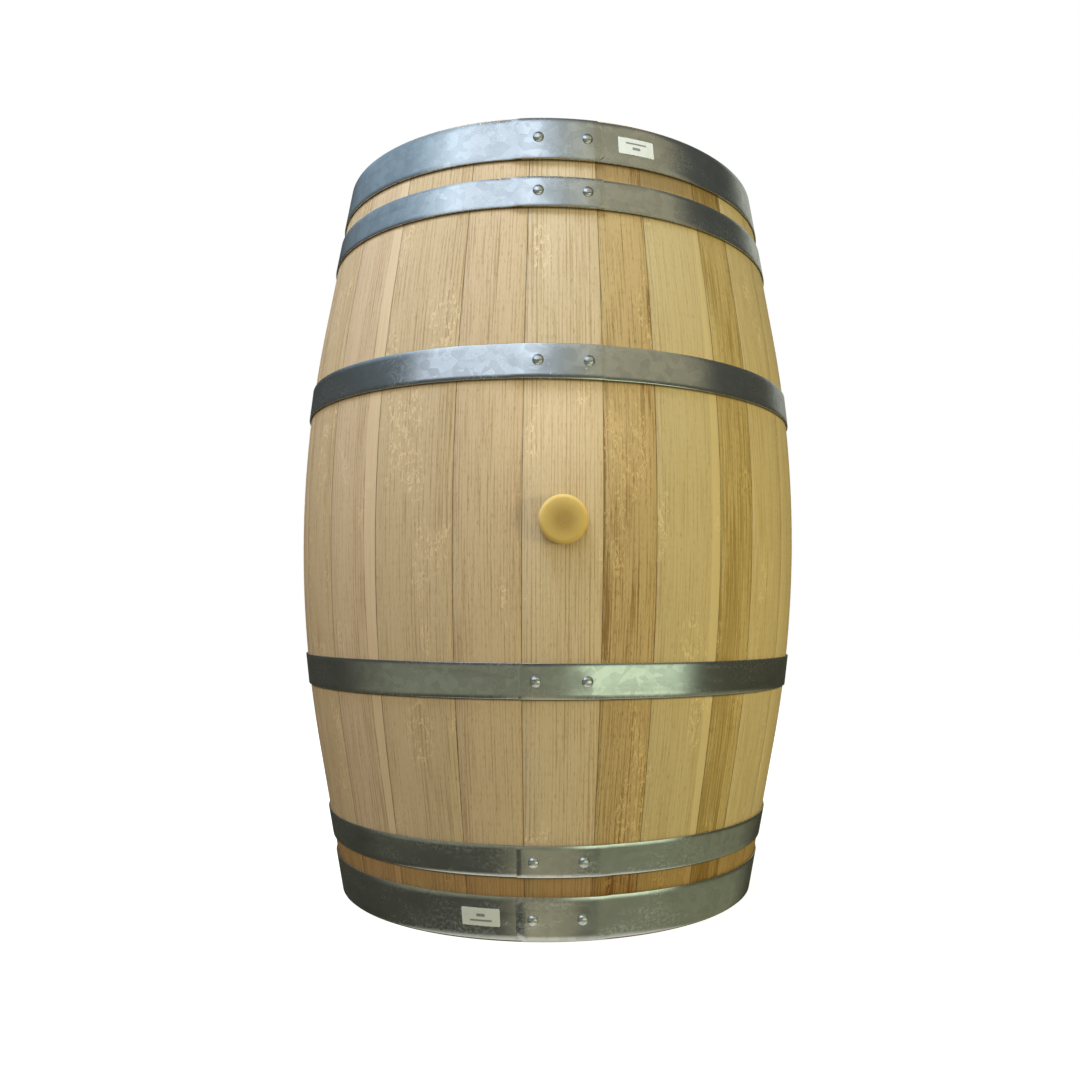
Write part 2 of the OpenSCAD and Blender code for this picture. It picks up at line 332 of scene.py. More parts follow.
class Oak(Enum):
    """The oak tones of the staves and the heads."""

    CREAM = OakTone(ring_pitch=0.004, ring_weight=0.85)
    ROSE = OakTone(pale=(0.62, 0.45, 0.28), deep=(0.40, 0.25, 0.13), ring_pitch=0.0036,
                   ring_weight=0.6)
    TAN = OakTone(pale=(0.60, 0.44, 0.265), deep=(0.40, 0.26, 0.135), ring_pitch=0.0047,
                  ring_weight=0.65, fleck_weight=0.6)
    ROSE_EDGED = OakTone(pale=(0.61, 0.445, 0.285), deep=(0.41, 0.26, 0.145), ring_pitch=0.0052,
                         ring_weight=0.65, pale_edge=0.026)
    AMBER = OakTone(pale=(0.53, 0.37, 0.18), deep=(0.27, 0.155, 0.05), ring_pitch=0.0045,
                    ring_weight=0.5, stroke_weight=0.85, fleck_weight=0.9,
                    shaded_top=0.55, knot=(0.011, 0.0, 0.372))
    AMBER_PLAIN = OakTone(pale=(0.565, 0.395, 0.21), deep=(0.31, 0.18, 0.07), stroke_weight=0.6,
                          fleck_weight=0.6)
    STRAW = OakTone(pale=(0.58, 0.45, 0.245), deep=(0.42, 0.30, 0.14), ring_pitch=0.0056,
                    ring_weight=0.45)
    STRAW_EDGED = OakTone(pale=(0.57, 0.44, 0.24), deep=(0.42, 0.295, 0.135), ring_pitch=0.0043,
                          ring_weight=0.45, pale_edge=0.029, shaded_top=0.8)
    OLIVE = OakTone(pale=(0.53, 0.39, 0.18), deep=(0.31, 0.205, 0.06), ring_pitch=0.005,
                    ring_weight=0.45, cloud_weight=0.6, stroke_weight=0.5, shaded_top=0.7)

    def planed(self) -> bpy.types.Material:
        """The material of this tone's planed faces, made when it is first asked for."""
        return bpy.data.materials.get(f"oak_{self.name.lower()}") or self.make()

    def make(self) -> bpy.types.Material:
        """Makes the material.

        Returns:
            The planed face of a plank of this tone.
        """
        tone: OakTone = self.value
        bench = NodeBench(f"oak_{self.name.lower()}")
        plank = bench.attribute("plank")
        x, y, z = bench.split(plank)

        drift = bench.noise(bench.stretch(plank, (7, 7, 1.1)), detail=1.0)
        wobble = bench.noise(bench.stretch(plank, (45, 45, 7)), detail=1.0)
        bend = bench.math("MULTIPLY_ADD", drift, 0.016)
        bend.node.inputs[2].default_value = -0.008
        ripple = bench.math("MULTIPLY", wobble, 0.0014)
        across = bench.math("ADD", bench.math("ADD", x, bend), ripple)

        uneven = bench.noise(bench.join(bench.math("MULTIPLY", across, 65),
                                        bench.math("MULTIPLY", y, 9), 0.0), detail=1.0)
        turn = bench.math("ADD", bench.math("DIVIDE", across, tone.ring_pitch),
                          bench.math("MULTIPLY", uneven, 2.6))
        ring = bench.math("FRACT", turn)
        line = bench.math("MAXIMUM", bench.ease(ring, 0.0, 0.42, 1.0, 0.0),
                          bench.ease(ring, 0.9, 1.0))
        which = bench.put("TexWhiteNoise", noise_dimensions="1D")
        bench.feed(which.inputs["W"], bench.math("FLOOR", turn))
        vary = bench.ease(which.outputs["Value"], 0.0, 1.0, 0.35, 1.0)
        line = bench.math("MULTIPLY", line, vary)

        fine = bench.join(bench.math("MULTIPLY", across, 620), bench.math("MULTIPLY", y, 400),
                          bench.math("MULTIPLY", z, 11))
        fibre = bench.ease(bench.noise(fine, detail=3.0, rough=0.65), 0.28, 0.72)
        dashes = bench.noise(bench.join(bench.math("MULTIPLY", across, 1500),
                                        bench.math("MULTIPLY", y, 700),
                                        bench.math("MULTIPLY", z, 120)), detail=2.0)
        pores = bench.ease(dashes, 0.54, 0.68)
        broken = bench.ease(bench.noise(bench.stretch(plank, (120, 60, 22)), detail=2.0),
                            0.3, 0.62, 0.45, 1.0)
        line = bench.math("MULTIPLY", line, broken)
        cloud = bench.noise(bench.join(bench.math("MULTIPLY", across, 34),
                                       bench.math("MULTIPLY", y, 20),
                                       bench.math("MULTIPLY", z, 1.6)), detail=3.0, rough=0.55)
        cloud = bench.ease(cloud, 0.3, 0.7)
        stroke = bench.noise(bench.join(bench.math("MULTIPLY", across, 210),
                                        bench.math("MULTIPLY", y, 60),
                                        bench.math("MULTIPLY", z, 7.5)), detail=3.0, rough=0.6)
        region = bench.ease(bench.noise(bench.stretch(plank, (26, 10, 5)), detail=1.0), 0.4, 0.6)
        stroke = bench.math("MULTIPLY", bench.ease(stroke, 0.47, 0.68), region)

        dark = bench.math("MULTIPLY", line, tone.ring_weight)
        for part, weight in ((fibre, tone.fibre_weight), (cloud, tone.cloud_weight),
                             (stroke, tone.stroke_weight), (pores, tone.pore_weight)):
            dark = bench.math("ADD", dark, bench.math("MULTIPLY", part, weight))
        dark = bench.math("SUBTRACT", dark, 0.63, clamp=False)
        dark = bench.math("MULTIPLY", dark, 1.45)
        colour = bench.blend(dark, tone.pale, tone.deep)

        if tone.pale_edge is not None:
            strip = bench.ease(across, tone.pale_edge, tone.pale_edge + 0.0012)
            colour = bench.blend(bench.math("MULTIPLY", strip, 0.75), colour,
                                 tuple(min(1.0, c * 1.14) for c in tone.pale))
        if tone.knot is not None:
            colour = self.knot(bench, colour, plank, tone)
        fleck = self.flecks(bench, plank, tone.fleck_weight)
        colour = bench.blend(bench.math("MULTIPLY", fleck, 0.8), colour,
                             tuple(min(1.0, c * 1.3) for c in tone.pale))
        left, right, height = bench.split(bench.attribute("joint"))
        # tannin stain and painted shade at the foot, painted shade at the top
        colour = self.stain_and_shade_at_ends(bench, colour, height, tone.shaded_top)
        colour = self.seams(bench, colour, plank, bench.math("MINIMUM", left, right))
        # painted shadow: a dark line under each hoop
        colour = self.painted_hoop_shadow(bench, colour, height)

        rough = bench.math("ADD", 0.5, bench.math("MULTIPLY", fibre, 0.16))
        rough = bench.math("SUBTRACT", rough, bench.math("MULTIPLY", fleck, 0.16))
        height = bench.math("SUBTRACT", bench.math("MULTIPLY", fibre, 0.4),
                            bench.math("MULTIPLY", bench.math("ADD", line, pores), 0.4))
        bench.bump(height, depth=0.0003, strength=0.8)
        return bench.finish(colour, rough, Specular_IOR_Level=0.32)

    @staticmethod
    def stain_and_shade_at_ends(bench: NodeBench, colour: Socket, height: Socket, top: float) -> Socket:
        """Darkens the ends of the staves: tannin and water stain with painted shade at the foot,
        and painted shade at the top.

        Args:
            bench: the material's node bench.
            colour: the colour so far.
            height: the height on a stave.
            top: how much painted shade darkens the top end, from 0 to 1. The foot always has its
                stain and painted shade.

        Returns:
            The colour with the stained and shaded ends.
        """
        # the foot: tannin and water stain, with painted shade, from the gap between the lower hoops
        # down
        foot = bench.ease(height, 0.075, 0.092, 0.85, 0.0)
        colour = bench.blend(foot, colour, (0.62, 0.47, 0.27), mode="MULTIPLY")
        # the top: painted shade from the gap below the head hoop upwards
        head = bench.ease(height, 0.858, 0.880, 0.0, top)
        return bench.blend(head, colour, (0.45, 0.36, 0.26), mode="MULTIPLY")

    @staticmethod
    def painted_hoop_shadow(bench: NodeBench, colour: Socket, height: Socket) -> Socket:
        """Paints a shadow: a dark line on the wood right under each hoop.

        Args:
            bench: the material's node bench.
            colour: the colour so far.
            height: the height on a stave.

        Returns:
            The colour with the painted shadow lines.
        """
        for end in ("top", "bottom"):
            for kind in HOOP_KINDS:
                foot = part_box(f"{end}_{kind}_hoop")[0].z
                # painted shadow, from just below the hoop's lower edge up under the hoop
                line = bench.math("MULTIPLY", bench.ease(height, foot - 0.0032, foot, 0.0, 0.85),
                                  bench.ease(height, foot + 0.008, foot + 0.012, 1.0, 0.0))
                colour = bench.blend(line, colour, (0.045, 0.035, 0.022))
        return colour

    @staticmethod
    def knot(bench: NodeBench, colour: Socket, plank: Socket, tone: OakTone) -> Socket:
        """Darkens a pin knot and the grain that runs past it.

        Args:
            bench: the material's node bench.
            colour: the colour so far.
            plank: the plank's vector.
            tone: the oak's tone, which places the knot.

        Returns:
            The colour with the knot.
        """
        at_x, at_y, at_z = tone.knot
        shape = bench.stretch(plank, (150, 40, 42), (-150 * at_x, -40 * at_y, -42 * at_z))
        far = bench.put("VectorMath", operation="LENGTH")
        bench.feed(far.inputs[0], shape)
        spot = bench.ease(far.outputs["Value"], 0.15, 0.62, 0.85, 0.0)
        return bench.blend(spot, colour, (0.10, 0.052, 0.018))

    @staticmethod
    def flecks(bench: NodeBench, plank: Socket, weight: float) -> Socket:
        """Pale ray flecks, which wander across the grain in patches.

        Args:
            bench: the material's node bench.
            plank: the plank's vector.
            weight: how much of the plank has them, from 0 to 1.

        Returns:
            How much of a fleck shows.
        """
        curl = bench.noise(bench.stretch(plank, (190, 50, 62)), detail=2.0, twist=0.8)
        off = bench.math("ABSOLUTE", bench.math("SUBTRACT", curl, 0.5))
        thin = bench.ease(off, 0.01, 0.05, 1.0, 0.0)
        dots = bench.ease(bench.noise(bench.stretch(plank, (90, 40, 110))), 0.40, 0.50)
        patch = bench.noise(bench.stretch(plank, (24, 10, 9), (3.1, 0, 1.7)), detail=1.0)
        start = 0.64 - 0.18 * weight
        spread = bench.ease(patch, start, start + 0.1)
        return bench.math("MULTIPLY", bench.math("MULTIPLY", thin, dots), spread)

    @staticmethod
    def seams(bench: NodeBench, colour: Socket, plank: Socket, gap: Socket) -> Socket:
        """Darkens the joints between planks, with a little cellar grime beside them.

        Args:
            bench: the material's node bench.
            colour: the colour so far.
            plank: the plank's vector.
            gap: distance to the nearest joint.

        Returns:
            The colour with dark joints.
        """
        ragged = bench.noise(bench.stretch(plank, (500, 200, 45)), detail=2.0)
        gap = bench.math("ADD", gap, bench.math("MULTIPLY", ragged, -0.0009))
        grime = bench.ease(gap, 0.0, 0.0022, 0.12, 0.0)
        colour = bench.blend(grime, colour, (0.27, 0.17, 0.085))
        dark = bench.ease(gap, -0.0003, 0.0002, 0.8, 0.0)
        return bench.blend(dark, colour, (0.09, 0.05, 0.018))


@dataclass(frozen=True)
class EndGrain:
    """Sawn end grain of oak: rays, rings and open pores."""

    pale: Colour = (0.50, 0.345, 0.19)
    deep: Colour = (0.25, 0.15, 0.07)

    def make(self) -> bpy.types.Material:
        """Makes the material of the stave ends.

        Returns:
            The sawn ends' material.
        """
        bench = NodeBench("oak_end_grain")
        plank = bench.attribute("plank")
        rings = bench.noise(bench.stretch(plank, (420, 16, 16)), detail=2.0)
        rays = bench.noise(bench.stretch(plank, (60, 900, 60)), detail=2.0)
        pores = bench.noise(bench.stretch(plank, (1500, 1500, 1500)), detail=1.0)
        pores = bench.ease(pores, 0.36, 0.46, 1.0, 0.0)
        dark = bench.math("ADD", bench.ease(rings, 0.35, 0.7, 0.0, 0.55),
                          bench.math("MULTIPLY", pores, 0.45), clamp=True)
        colour = bench.blend(dark, self.pale, self.deep)
        colour = bench.blend(bench.ease(rays, 0.58, 0.7, 0.0, 0.3), colour, (0.62, 0.46, 0.29))
        left, right, _ = bench.split(bench.attribute("joint"))
        colour = Oak.seams(bench, colour, plank, bench.math("MINIMUM", left, right))
        bench.bump(pores, depth=-0.0003, strength=0.6)
        return bench.finish(colour, 0.72, Specular_IOR_Level=0.25)


@dataclass(frozen=True)
class Toast:
    """The inside of the staves, toasted over a fire of oak chips."""

    warm: Colour = (0.23, 0.115, 0.045)
    burnt: Colour = (0.07, 0.034, 0.016)

    def make(self) -> bpy.types.Material:
        """Makes the material of the inside.

        Returns:
            The toasted inside's material.
        """
        bench = NodeBench("oak_toasted")
        plank = bench.attribute("plank")
        fibre = bench.noise(bench.stretch(plank, (700, 300, 14)), detail=3.0)
        cloud = bench.noise(bench.stretch(plank, (9, 9, 4)), detail=3.0)
        _, _, height = bench.split(bench.place())
        middle = bench.math("ABSOLUTE", bench.math("SUBTRACT", height, 0.475))
        fire = bench.ease(middle, 0.15, 0.42, 0.6, 0.1)
        dark = bench.math("ADD", bench.math("MULTIPLY", cloud, 0.6), fire, clamp=True)
        colour = bench.blend(dark, self.warm, self.burnt)
        colour = bench.blend(bench.ease(fibre, 0.5, 0.75, 0.0, 0.35), colour, (0.36, 0.2, 0.085))
        bench.bump(fibre, depth=0.0006, strength=0.7)
        return bench.finish(colour, 0.8, Specular_IOR_Level=0.2)


@dataclass(frozen=True)
class Galvanised:
    """Hot-dip galvanised strip: frosty zinc spangle over a rolled surface, dull with age.

    The carried vector "strip" holds the distance along the strip, the distance across it from
    its middle, and the distance to its nearest edge.
    """

    zinc: Colour = (0.60, 0.62, 0.635)
    frost: Colour = (0.70, 0.715, 0.72)
    dull: Colour = (0.52, 0.54, 0.555)
    # bare zinc at the worn edges, lightened further as a painted highlight
    bare_and_glint: Colour = (0.74, 0.75, 0.75)

    def make(self) -> bpy.types.Material:
        """Makes the material of the hoops.

        Returns:
            The hoops' material.
        """
        bench = NodeBench("galvanised_steel")
        strip = bench.attribute("strip")
        _, _, edge = bench.split(strip)
        flat = bench.stretch(strip, (1, 1, 0))
        warp = bench.noise(bench.stretch(flat, (60, 60, 0)), detail=2.0)
        crystal = bench.put("TexVoronoi", feature="F1")
        bench.feed(crystal.inputs["Vector"], bench.stretch(flat, (95, 115, 0)))
        crystal.inputs["Scale"].default_value = 1.0
        grey = bench.put("SeparateColor")
        bench.feed(grey.inputs[0], crystal.outputs["Color"])
        face = bench.math("ADD", bench.math("MULTIPLY", grey.outputs[0], 0.65),
                          bench.math("MULTIPLY", warp, 0.35))
        cloud = bench.noise(bench.stretch(flat, (11, 26, 0)), detail=3.0, rough=0.6)
        frost = bench.noise(bench.stretch(flat, (230, 260, 0)), detail=3.0, rough=0.65)
        rolled = bench.noise(bench.stretch(flat, (14, 1400, 0)), detail=2.0)

        colour = bench.blend(bench.ease(face, 0.2, 0.8), self.zinc, self.dull)
        patches = bench.math("MULTIPLY", bench.ease(cloud, 0.42, 0.62),
                             bench.ease(frost, 0.4, 0.66))
        colour = bench.blend(bench.math("MULTIPLY", patches, 0.75), colour, self.frost)
        stain = bench.noise(bench.stretch(flat, (7, 60, 0), (4.0, 2.0, 0)), detail=4.0)
        colour = bench.blend(bench.ease(stain, 0.58, 0.75, 0.0, 0.3), colour, (0.27, 0.27, 0.25))
        # worn edges, whose lighter colour is partly a painted highlight along the hoops' edges
        worn_and_glint = bench.ease(edge, 0.0006, 0.0020, 0.9, 0.0)
        colour = bench.blend(worn_and_glint, colour, self.bare_and_glint)

        rough = bench.math("ADD", 0.14, bench.math("MULTIPLY", face, 0.09))
        rough = bench.math("ADD", rough, bench.math("MULTIPLY", patches, 0.12))
        rough = bench.math("ADD", rough, bench.math("MULTIPLY", rolled, 0.05))
        scratch = bench.noise(bench.stretch(flat, (40, 900, 0), (9.0, 5.0, 0)), detail=1.0)
        height = bench.math("ADD", bench.math("MULTIPLY", face, 0.3),
                            bench.math("MULTIPLY", frost, 0.12))
        height = bench.math("ADD", height, bench.math("MULTIPLY", scratch, 0.3))
        height = bench.math("MULTIPLY", height, bench.ease(edge, 0.0010, 0.0025))
        bench.bump(height, depth=0.00012, strength=0.4)
        return bench.finish(colour, rough, Metallic=0.94)


@dataclass(frozen=True)
class ZincRivet:
    """Zinc-plated rivet steel, bright on the dome and grubby round its foot."""

    bright: Colour = (0.74, 0.75, 0.76)
    grubby: Colour = (0.36, 0.37, 0.36)

    def make(self) -> bpy.types.Material:
        """Makes the material of the rivets.

        Returns:
            The rivets' material.
        """
        bench = NodeBench("zinc_rivet")
        place = bench.place()
        patch = bench.noise(bench.stretch(place, (320, 320, 320)), detail=3.0)
        hammer = bench.noise(bench.stretch(place, (900, 900, 900)), detail=1.0)
        _, rise, _ = bench.split(bench.attribute("dome"))
        colour = bench.blend(bench.ease(patch, 0.4, 0.65, 0.0, 0.35), self.bright, self.grubby)
        colour = bench.blend(bench.ease(rise, 0.0, 0.0013, 0.8, 0.0), colour, self.grubby)
        rough = bench.ease(patch, 0.3, 0.7, 0.24, 0.36)
        bench.bump(hammer, depth=0.0001, strength=0.5)
        return bench.finish(colour, rough, Metallic=0.95)


@dataclass(frozen=True)
class Silicone:
    """Cast amber silicone that lets light into its rim."""

    rim: Colour = (0.66, 0.47, 0.16)
    heart: Colour = (0.43, 0.275, 0.085)
    heart_radius: float = 0.0155
    rim_radius: float = 0.0262

    def make(self, centre: Vector) -> bpy.types.Material:
        """Makes the material of the bung.

        Args:
            centre: a point on the bung's axis.

        Returns:
            The material.
        """
        bench = NodeBench("amber_silicone")
        place = bench.place()
        flat = bench.stretch(place, (1, 0, 1), (-centre.x, 0, -centre.z))
        far = bench.put("VectorMath", operation="LENGTH")
        bench.feed(far.inputs[0], flat)
        cloud = bench.noise(bench.stretch(place, (60, 60, 60)), detail=2.0)
        reach = bench.math("ADD", far.outputs["Value"], bench.math("MULTIPLY", cloud, 0.004))
        shade = bench.ease(reach, self.heart_radius * 0.35, self.rim_radius + 0.002)
        colour = bench.blend(shade, self.heart, self.rim)
        bloom = bench.noise(bench.stretch(place, (420, 420, 420)), detail=3.0)
        colour = bench.blend(bench.ease(bloom, 0.45, 0.75, 0.0, 0.08), colour, (0.80, 0.66, 0.36))
        rough = bench.ease(bloom, 0.3, 0.7, 0.32, 0.44)
        bench.bump(bloom, depth=0.00006, strength=0.4)
        return bench.finish(colour, rough, Subsurface_Weight=0.55, Subsurface_Scale=0.012,
                            Subsurface_Radius=(1.0, 0.6, 0.22), Specular_IOR_Level=0.45,
                            IOR=1.41)


@dataclass(frozen=True)
class LabelFilm:
    """White film with two plain printed bars.

    The carried vector "strip" is measured from the label's middle.
    """

    film: Colour = (0.80, 0.79, 0.765)
    ink: Colour = (0.045, 0.045, 0.05)
    width: float = 0.045
    height: float = 0.021

    def bar(self, bench: NodeBench, along: Socket, up: Socket, middle: float, half_l: float,
            half_h: float) -> Socket:
        """Says how much of one printed bar shows.

        Args:
            bench: the material's node bench.
            along: distance along the label.
            up: distance up the label.
            middle: the bar's height.
            half_l: half its length.
            half_h: half its height.

        Returns:
            The bar's factor.
        """
        inside_l = bench.ease(bench.math("ABSOLUTE", along), half_l - 0.0002, half_l + 0.0002,
                              1.0, 0.0)
        off = bench.math("ABSOLUTE", bench.math("SUBTRACT", up, middle))
        inside_h = bench.ease(off, half_h - 0.0002, half_h + 0.0002, 1.0, 0.0)
        return bench.math("MULTIPLY", inside_l, inside_h)

    def make(self) -> bpy.types.Material:
        """Makes the material of the labels.

        Returns:
            The labels' material.
        """
        bench = NodeBench("label_film")
        strip = bench.attribute("strip")
        along, up, edge = bench.split(strip)
        upper = self.bar(bench, along, up, self.height * 0.2, self.width * 0.29, 0.0011)
        lower = self.bar(bench, along, up, self.height * -0.1, self.width * 0.11, 0.0017)
        print_wear = bench.noise(bench.stretch(strip, (900, 900, 0)), detail=2.0)
        ink = bench.math("MULTIPLY", bench.math("MAXIMUM", upper, lower),
                         bench.ease(print_wear, 0.3, 0.5, 0.6, 0.95))
        soil = bench.noise(bench.stretch(strip, (90, 90, 0)), detail=4.0)
        colour = bench.blend(bench.ease(soil, 0.45, 0.8, 0.0, 0.35), self.film, (0.60, 0.58, 0.53))
        colour = bench.blend(ink, colour, self.ink)
        colour = bench.blend(bench.ease(edge, 0.0, 0.0008, 0.3, 0.0), colour, (0.5, 0.49, 0.46))
        bench.bump(soil, depth=0.00008, strength=0.5)
        return bench.finish(colour, bench.ease(soil, 0.3, 0.7, 0.38, 0.52))


@dataclass(frozen=True)
class DryStalk:
    """Beech dowel or dry reed, which differ only in their colours and fibre."""

    name: str
    pale: Colour
    deep: Colour
    fibre: Colour

    def make(self) -> bpy.types.Material:
        """Makes the material of the pieces inside the joints of a head.

        Returns:
            The stalks' material.
        """
        bench = NodeBench(self.name)
        place = bench.place()
        fibre = bench.noise(bench.stretch(place, self.fibre), detail=3.0)
        cloud = bench.noise(bench.stretch(place, (30, 30, 30)), detail=2.0)
        colour = bench.blend(bench.ease(fibre, 0.35, 0.7), self.pale, self.deep)
        colour = bench.blend(bench.ease(cloud, 0.4, 0.8, 0.0, 0.3), colour, self.deep)
        bench.bump(fibre, depth=0.0002, strength=0.6)
        return bench.finish(colour, bench.ease(fibre, 0.3, 0.7, 0.55, 0.7))


# ------------------------------------------------------------------ bench work on meshes


class Blank:
    """A mesh that is being worked, and the shop tools that shape it."""

    def __init__(self) -> None:
        """Starts with an empty mesh."""
        self.bm = bmesh.new()

    def block(self, low: Sequence[float], high: Sequence[float]) -> "Blank":
        """Adds a block from its lowest to its highest corner.

        Args:
            low: its lowest corner.
            high: its highest corner.

        Returns:
            This blank.
        """
        low, high = Vector(low), Vector(high)
        made = bmesh.ops.create_cube(self.bm, size=1.0)["verts"]
        bmesh.ops.scale(self.bm, vec=high - low, verts=made)
        bmesh.ops.translate(self.bm, vec=(low + high) / 2, verts=made)
        return self

    def turned(self, outline: Iterable[tuple[float, float]], steps: int,
               seat: Matrix = Matrix.Identity(4)) -> "Blank":
        """Turns an outline of (radius, height) points about Z into a closed body.

        Args:
            outline: the points, which start and end on the axis.
            steps: the number of steps of the turn.
            seat: where the body then goes.

        Returns:
            This blank.
        """
        before = set(self.bm.verts)
        verts = [self.bm.verts.new((radius, 0, height)) for radius, height in outline]
        edges = [self.bm.edges.new(pair) for pair in zip(verts, verts[1:])]
        bmesh.ops.spin(self.bm, geom=verts + edges, cent=(0, 0, 0), axis=(0, 0, 1),
                       angle=math.tau, steps=steps, use_merge=True)
        made = [vert for vert in self.bm.verts if vert not in before]
        bmesh.ops.transform(self.bm, matrix=seat, verts=made)
        return self.weld()

    def weld(self, gap: float = 1e-6) -> "Blank":
        """Merges doubled points and turns the faces outwards.

        Args:
            gap: how close two points are that become one.

        Returns:
            This blank.
        """
        bmesh.ops.remove_doubles(self.bm, verts=self.bm.verts, dist=gap)
        bmesh.ops.recalc_face_normals(self.bm, faces=self.bm.faces)
        return self

    def saw(self, place: Sequence[float], normal: Sequence[float], drop: bool = False) -> "Blank":
        """Cuts along a plane.

        Args:
            place: a point of the plane.
            normal: its normal.
            drop: removes what is beyond the plane.

        Returns:
            This blank.
        """
        geometry = self.bm.verts[:] + self.bm.edges[:] + self.bm.faces[:]
        bmesh.ops.bisect_plane(self.bm, geom=geometry, plane_co=place, plane_no=normal,
                               dist=1e-7, clear_outer=drop)
        return self

    def trim(self, place: Sequence[float], normal: Sequence[float]) -> "Blank":
        """Saws off what is beyond a plane, and leaves a clean face there.

        Args:
            place: a point of the plane.
            normal: its normal.

        Returns:
            This blank.
        """
        self.saw(place, normal, drop=True)
        rim = [edge for edge in self.bm.edges if edge.is_boundary]
        bmesh.ops.holes_fill(self.bm, edges=rim, sides=0)
        return self

    def divide(self, axis: str, cuts: int, longer: float) -> "Blank":
        """Divides the edges that run along an axis and are longer than a length.

        Args:
            axis: "x", "y" or "z".
            cuts: the number of cuts in each edge.
            longer: the least length of the edges that are cut.

        Returns:
            This blank.
        """
        def reach(edge: bmesh.types.BMEdge) -> float:
            """Length of an edge along the axis."""
            return abs(getattr(edge.verts[0].co, axis) - getattr(edge.verts[1].co, axis))

        edges = [edge for edge in self.bm.edges if reach(edge) > longer]
        bmesh.ops.subdivide_edges(self.bm, edges=edges, cuts=cuts, use_grid_fill=True)
        return self

    def take(self, other: "Blank") -> "Blank":
        """Adds a copy of another blank to this one.

        Args:
            other: the other blank, which is used up.

        Returns:
            This blank.
        """
        mesh = bpy.data.meshes.new("taken")
        other.bm.to_mesh(mesh)
        self.bm.from_mesh(mesh)
        bpy.data.meshes.remove(mesh)
        other.bm.free()
        return self

    def cut_away(self, cutter: "Blank") -> "Blank":
        """Removes the space of another closed blank from this one.

        Args:
            cutter: the closed blank that is cut with, which is used up.

        Returns:
            This blank.
        """
        pair = []
        for blank in (self, cutter):
            mesh = bpy.data.meshes.new("cut")
            blank.bm.to_mesh(mesh)
            pair.append(bpy.data.objects.new("cut", mesh))
            bpy.context.scene.collection.objects.link(pair[-1])
        work, tool = pair
        modifier = work.modifiers.new("bore", "BOOLEAN")
        modifier.operation = "DIFFERENCE"
        modifier.object = tool
        modifier.solver = "EXACT"
        shaped = work.evaluated_get(bpy.context.evaluated_depsgraph_get()).to_mesh()
        self.bm.clear()
        self.bm.from_mesh(shaped)
        for thing in pair:
            bpy.data.meshes.remove(thing.data)
        cutter.bm.free()
        return self

    def ease_edges(self, width: float, segments: int = 2, over: float = 40.0,
                   chosen: Optional[Callable[[bmesh.types.BMEdge], bool]] = None) -> "Blank":
        """Rounds the sharp edges.

        Args:
            width: the width of the rounding.
            segments: its number of faces.
            over: the angle in degrees past which an edge is sharp.
            chosen: says which of the sharp edges are rounded.

        Returns:
            This blank.
        """
        limit = math.radians(over)
        sharp = [e for e in self.bm.edges if e.is_manifold and e.calc_face_angle(0.0) > limit
                 and (chosen is None or chosen(e))]
        bmesh.ops.bevel(self.bm, geom=sharp, offset=width, offset_type="OFFSET", segments=segments,
                        affect="EDGES", profile=0.5, material=-1, clamp_overlap=True)
        return self

    def shape(self, place: Callable[[Vector], Vector]) -> "Blank":
        """Moves each point to where place() puts it.

        Args:
            place: gives a point's new place.

        Returns:
            This blank.
        """
        for vert in self.bm.verts:
            vert.co = place(vert.co)
        return self

    def carry(self, name: str, measure: Callable[[Vector], Vector]) -> "Blank":
        """Stores a measured vector on each point, for the finish to read.

        Args:
            name: the carried vector's name.
            measure: gives a point's vector.

        Returns:
            This blank.
        """
        layer = self.bm.verts.layers.float_vector.get(name)
        layer = layer or self.bm.verts.layers.float_vector.new(name)
        for vert in self.bm.verts:
            vert[layer] = measure(vert.co)
        return self

    def to_piece(self, name: str, finishes: Sequence[bpy.types.Material],
                 sharp: float = 35.0) -> bpy.types.Object:
        """Ends the work and makes the piece.

        Args:
            name: the piece's name.
            finishes: its materials, in the order of the faces' numbers.
            sharp: the angle in degrees past which shading breaks.

        Returns:
            The piece, at the origin.
        """
        mesh = bpy.data.meshes.new(name)
        for face in self.bm.faces:
            face.smooth = True
        self.bm.to_mesh(mesh)
        self.bm.free()
        mesh.set_sharp_from_angle(angle=math.radians(sharp))
        for finish in finishes:
            mesh.materials.append(finish)
        piece = bpy.data.objects.new(name, mesh)
        bpy.context.scene.collection.objects.link(piece)
        return piece


# ------------------------------------------------------------------ the wood


@dataclass(frozen=True)
class BarrelCurve:
    """Outline of the wood: a parabola in the bent middle, and its tangents past it."""

    length: float
    bilge_r: float
    head_r: float = 0.281
    bend_half: float = 0.280

    @property
    def rate(self) -> float:
        """How fast the radius falls with the square of the distance from the middle."""
        return (self.bilge_r - self.head_r) / (self.bend_half * (self.length - self.bend_half))

    def outer(self, z: float) -> float:
        """Radius of the wood's outside at a height.

        Args:
            z: the height.

        Returns:
            The radius.
        """
        t = abs(z - self.length / 2)
        bent = min(t, self.bend_half)
        return self.bilge_r - self.rate * (bent * bent + 2 * self.bend_half * (t - bent))

    def slope(self, z: float) -> float:
        """Slope of the outside at a height, as radius over height."""
        t = z - self.length / 2
        return -2 * self.rate * math.copysign(min(abs(t), self.bend_half), t)


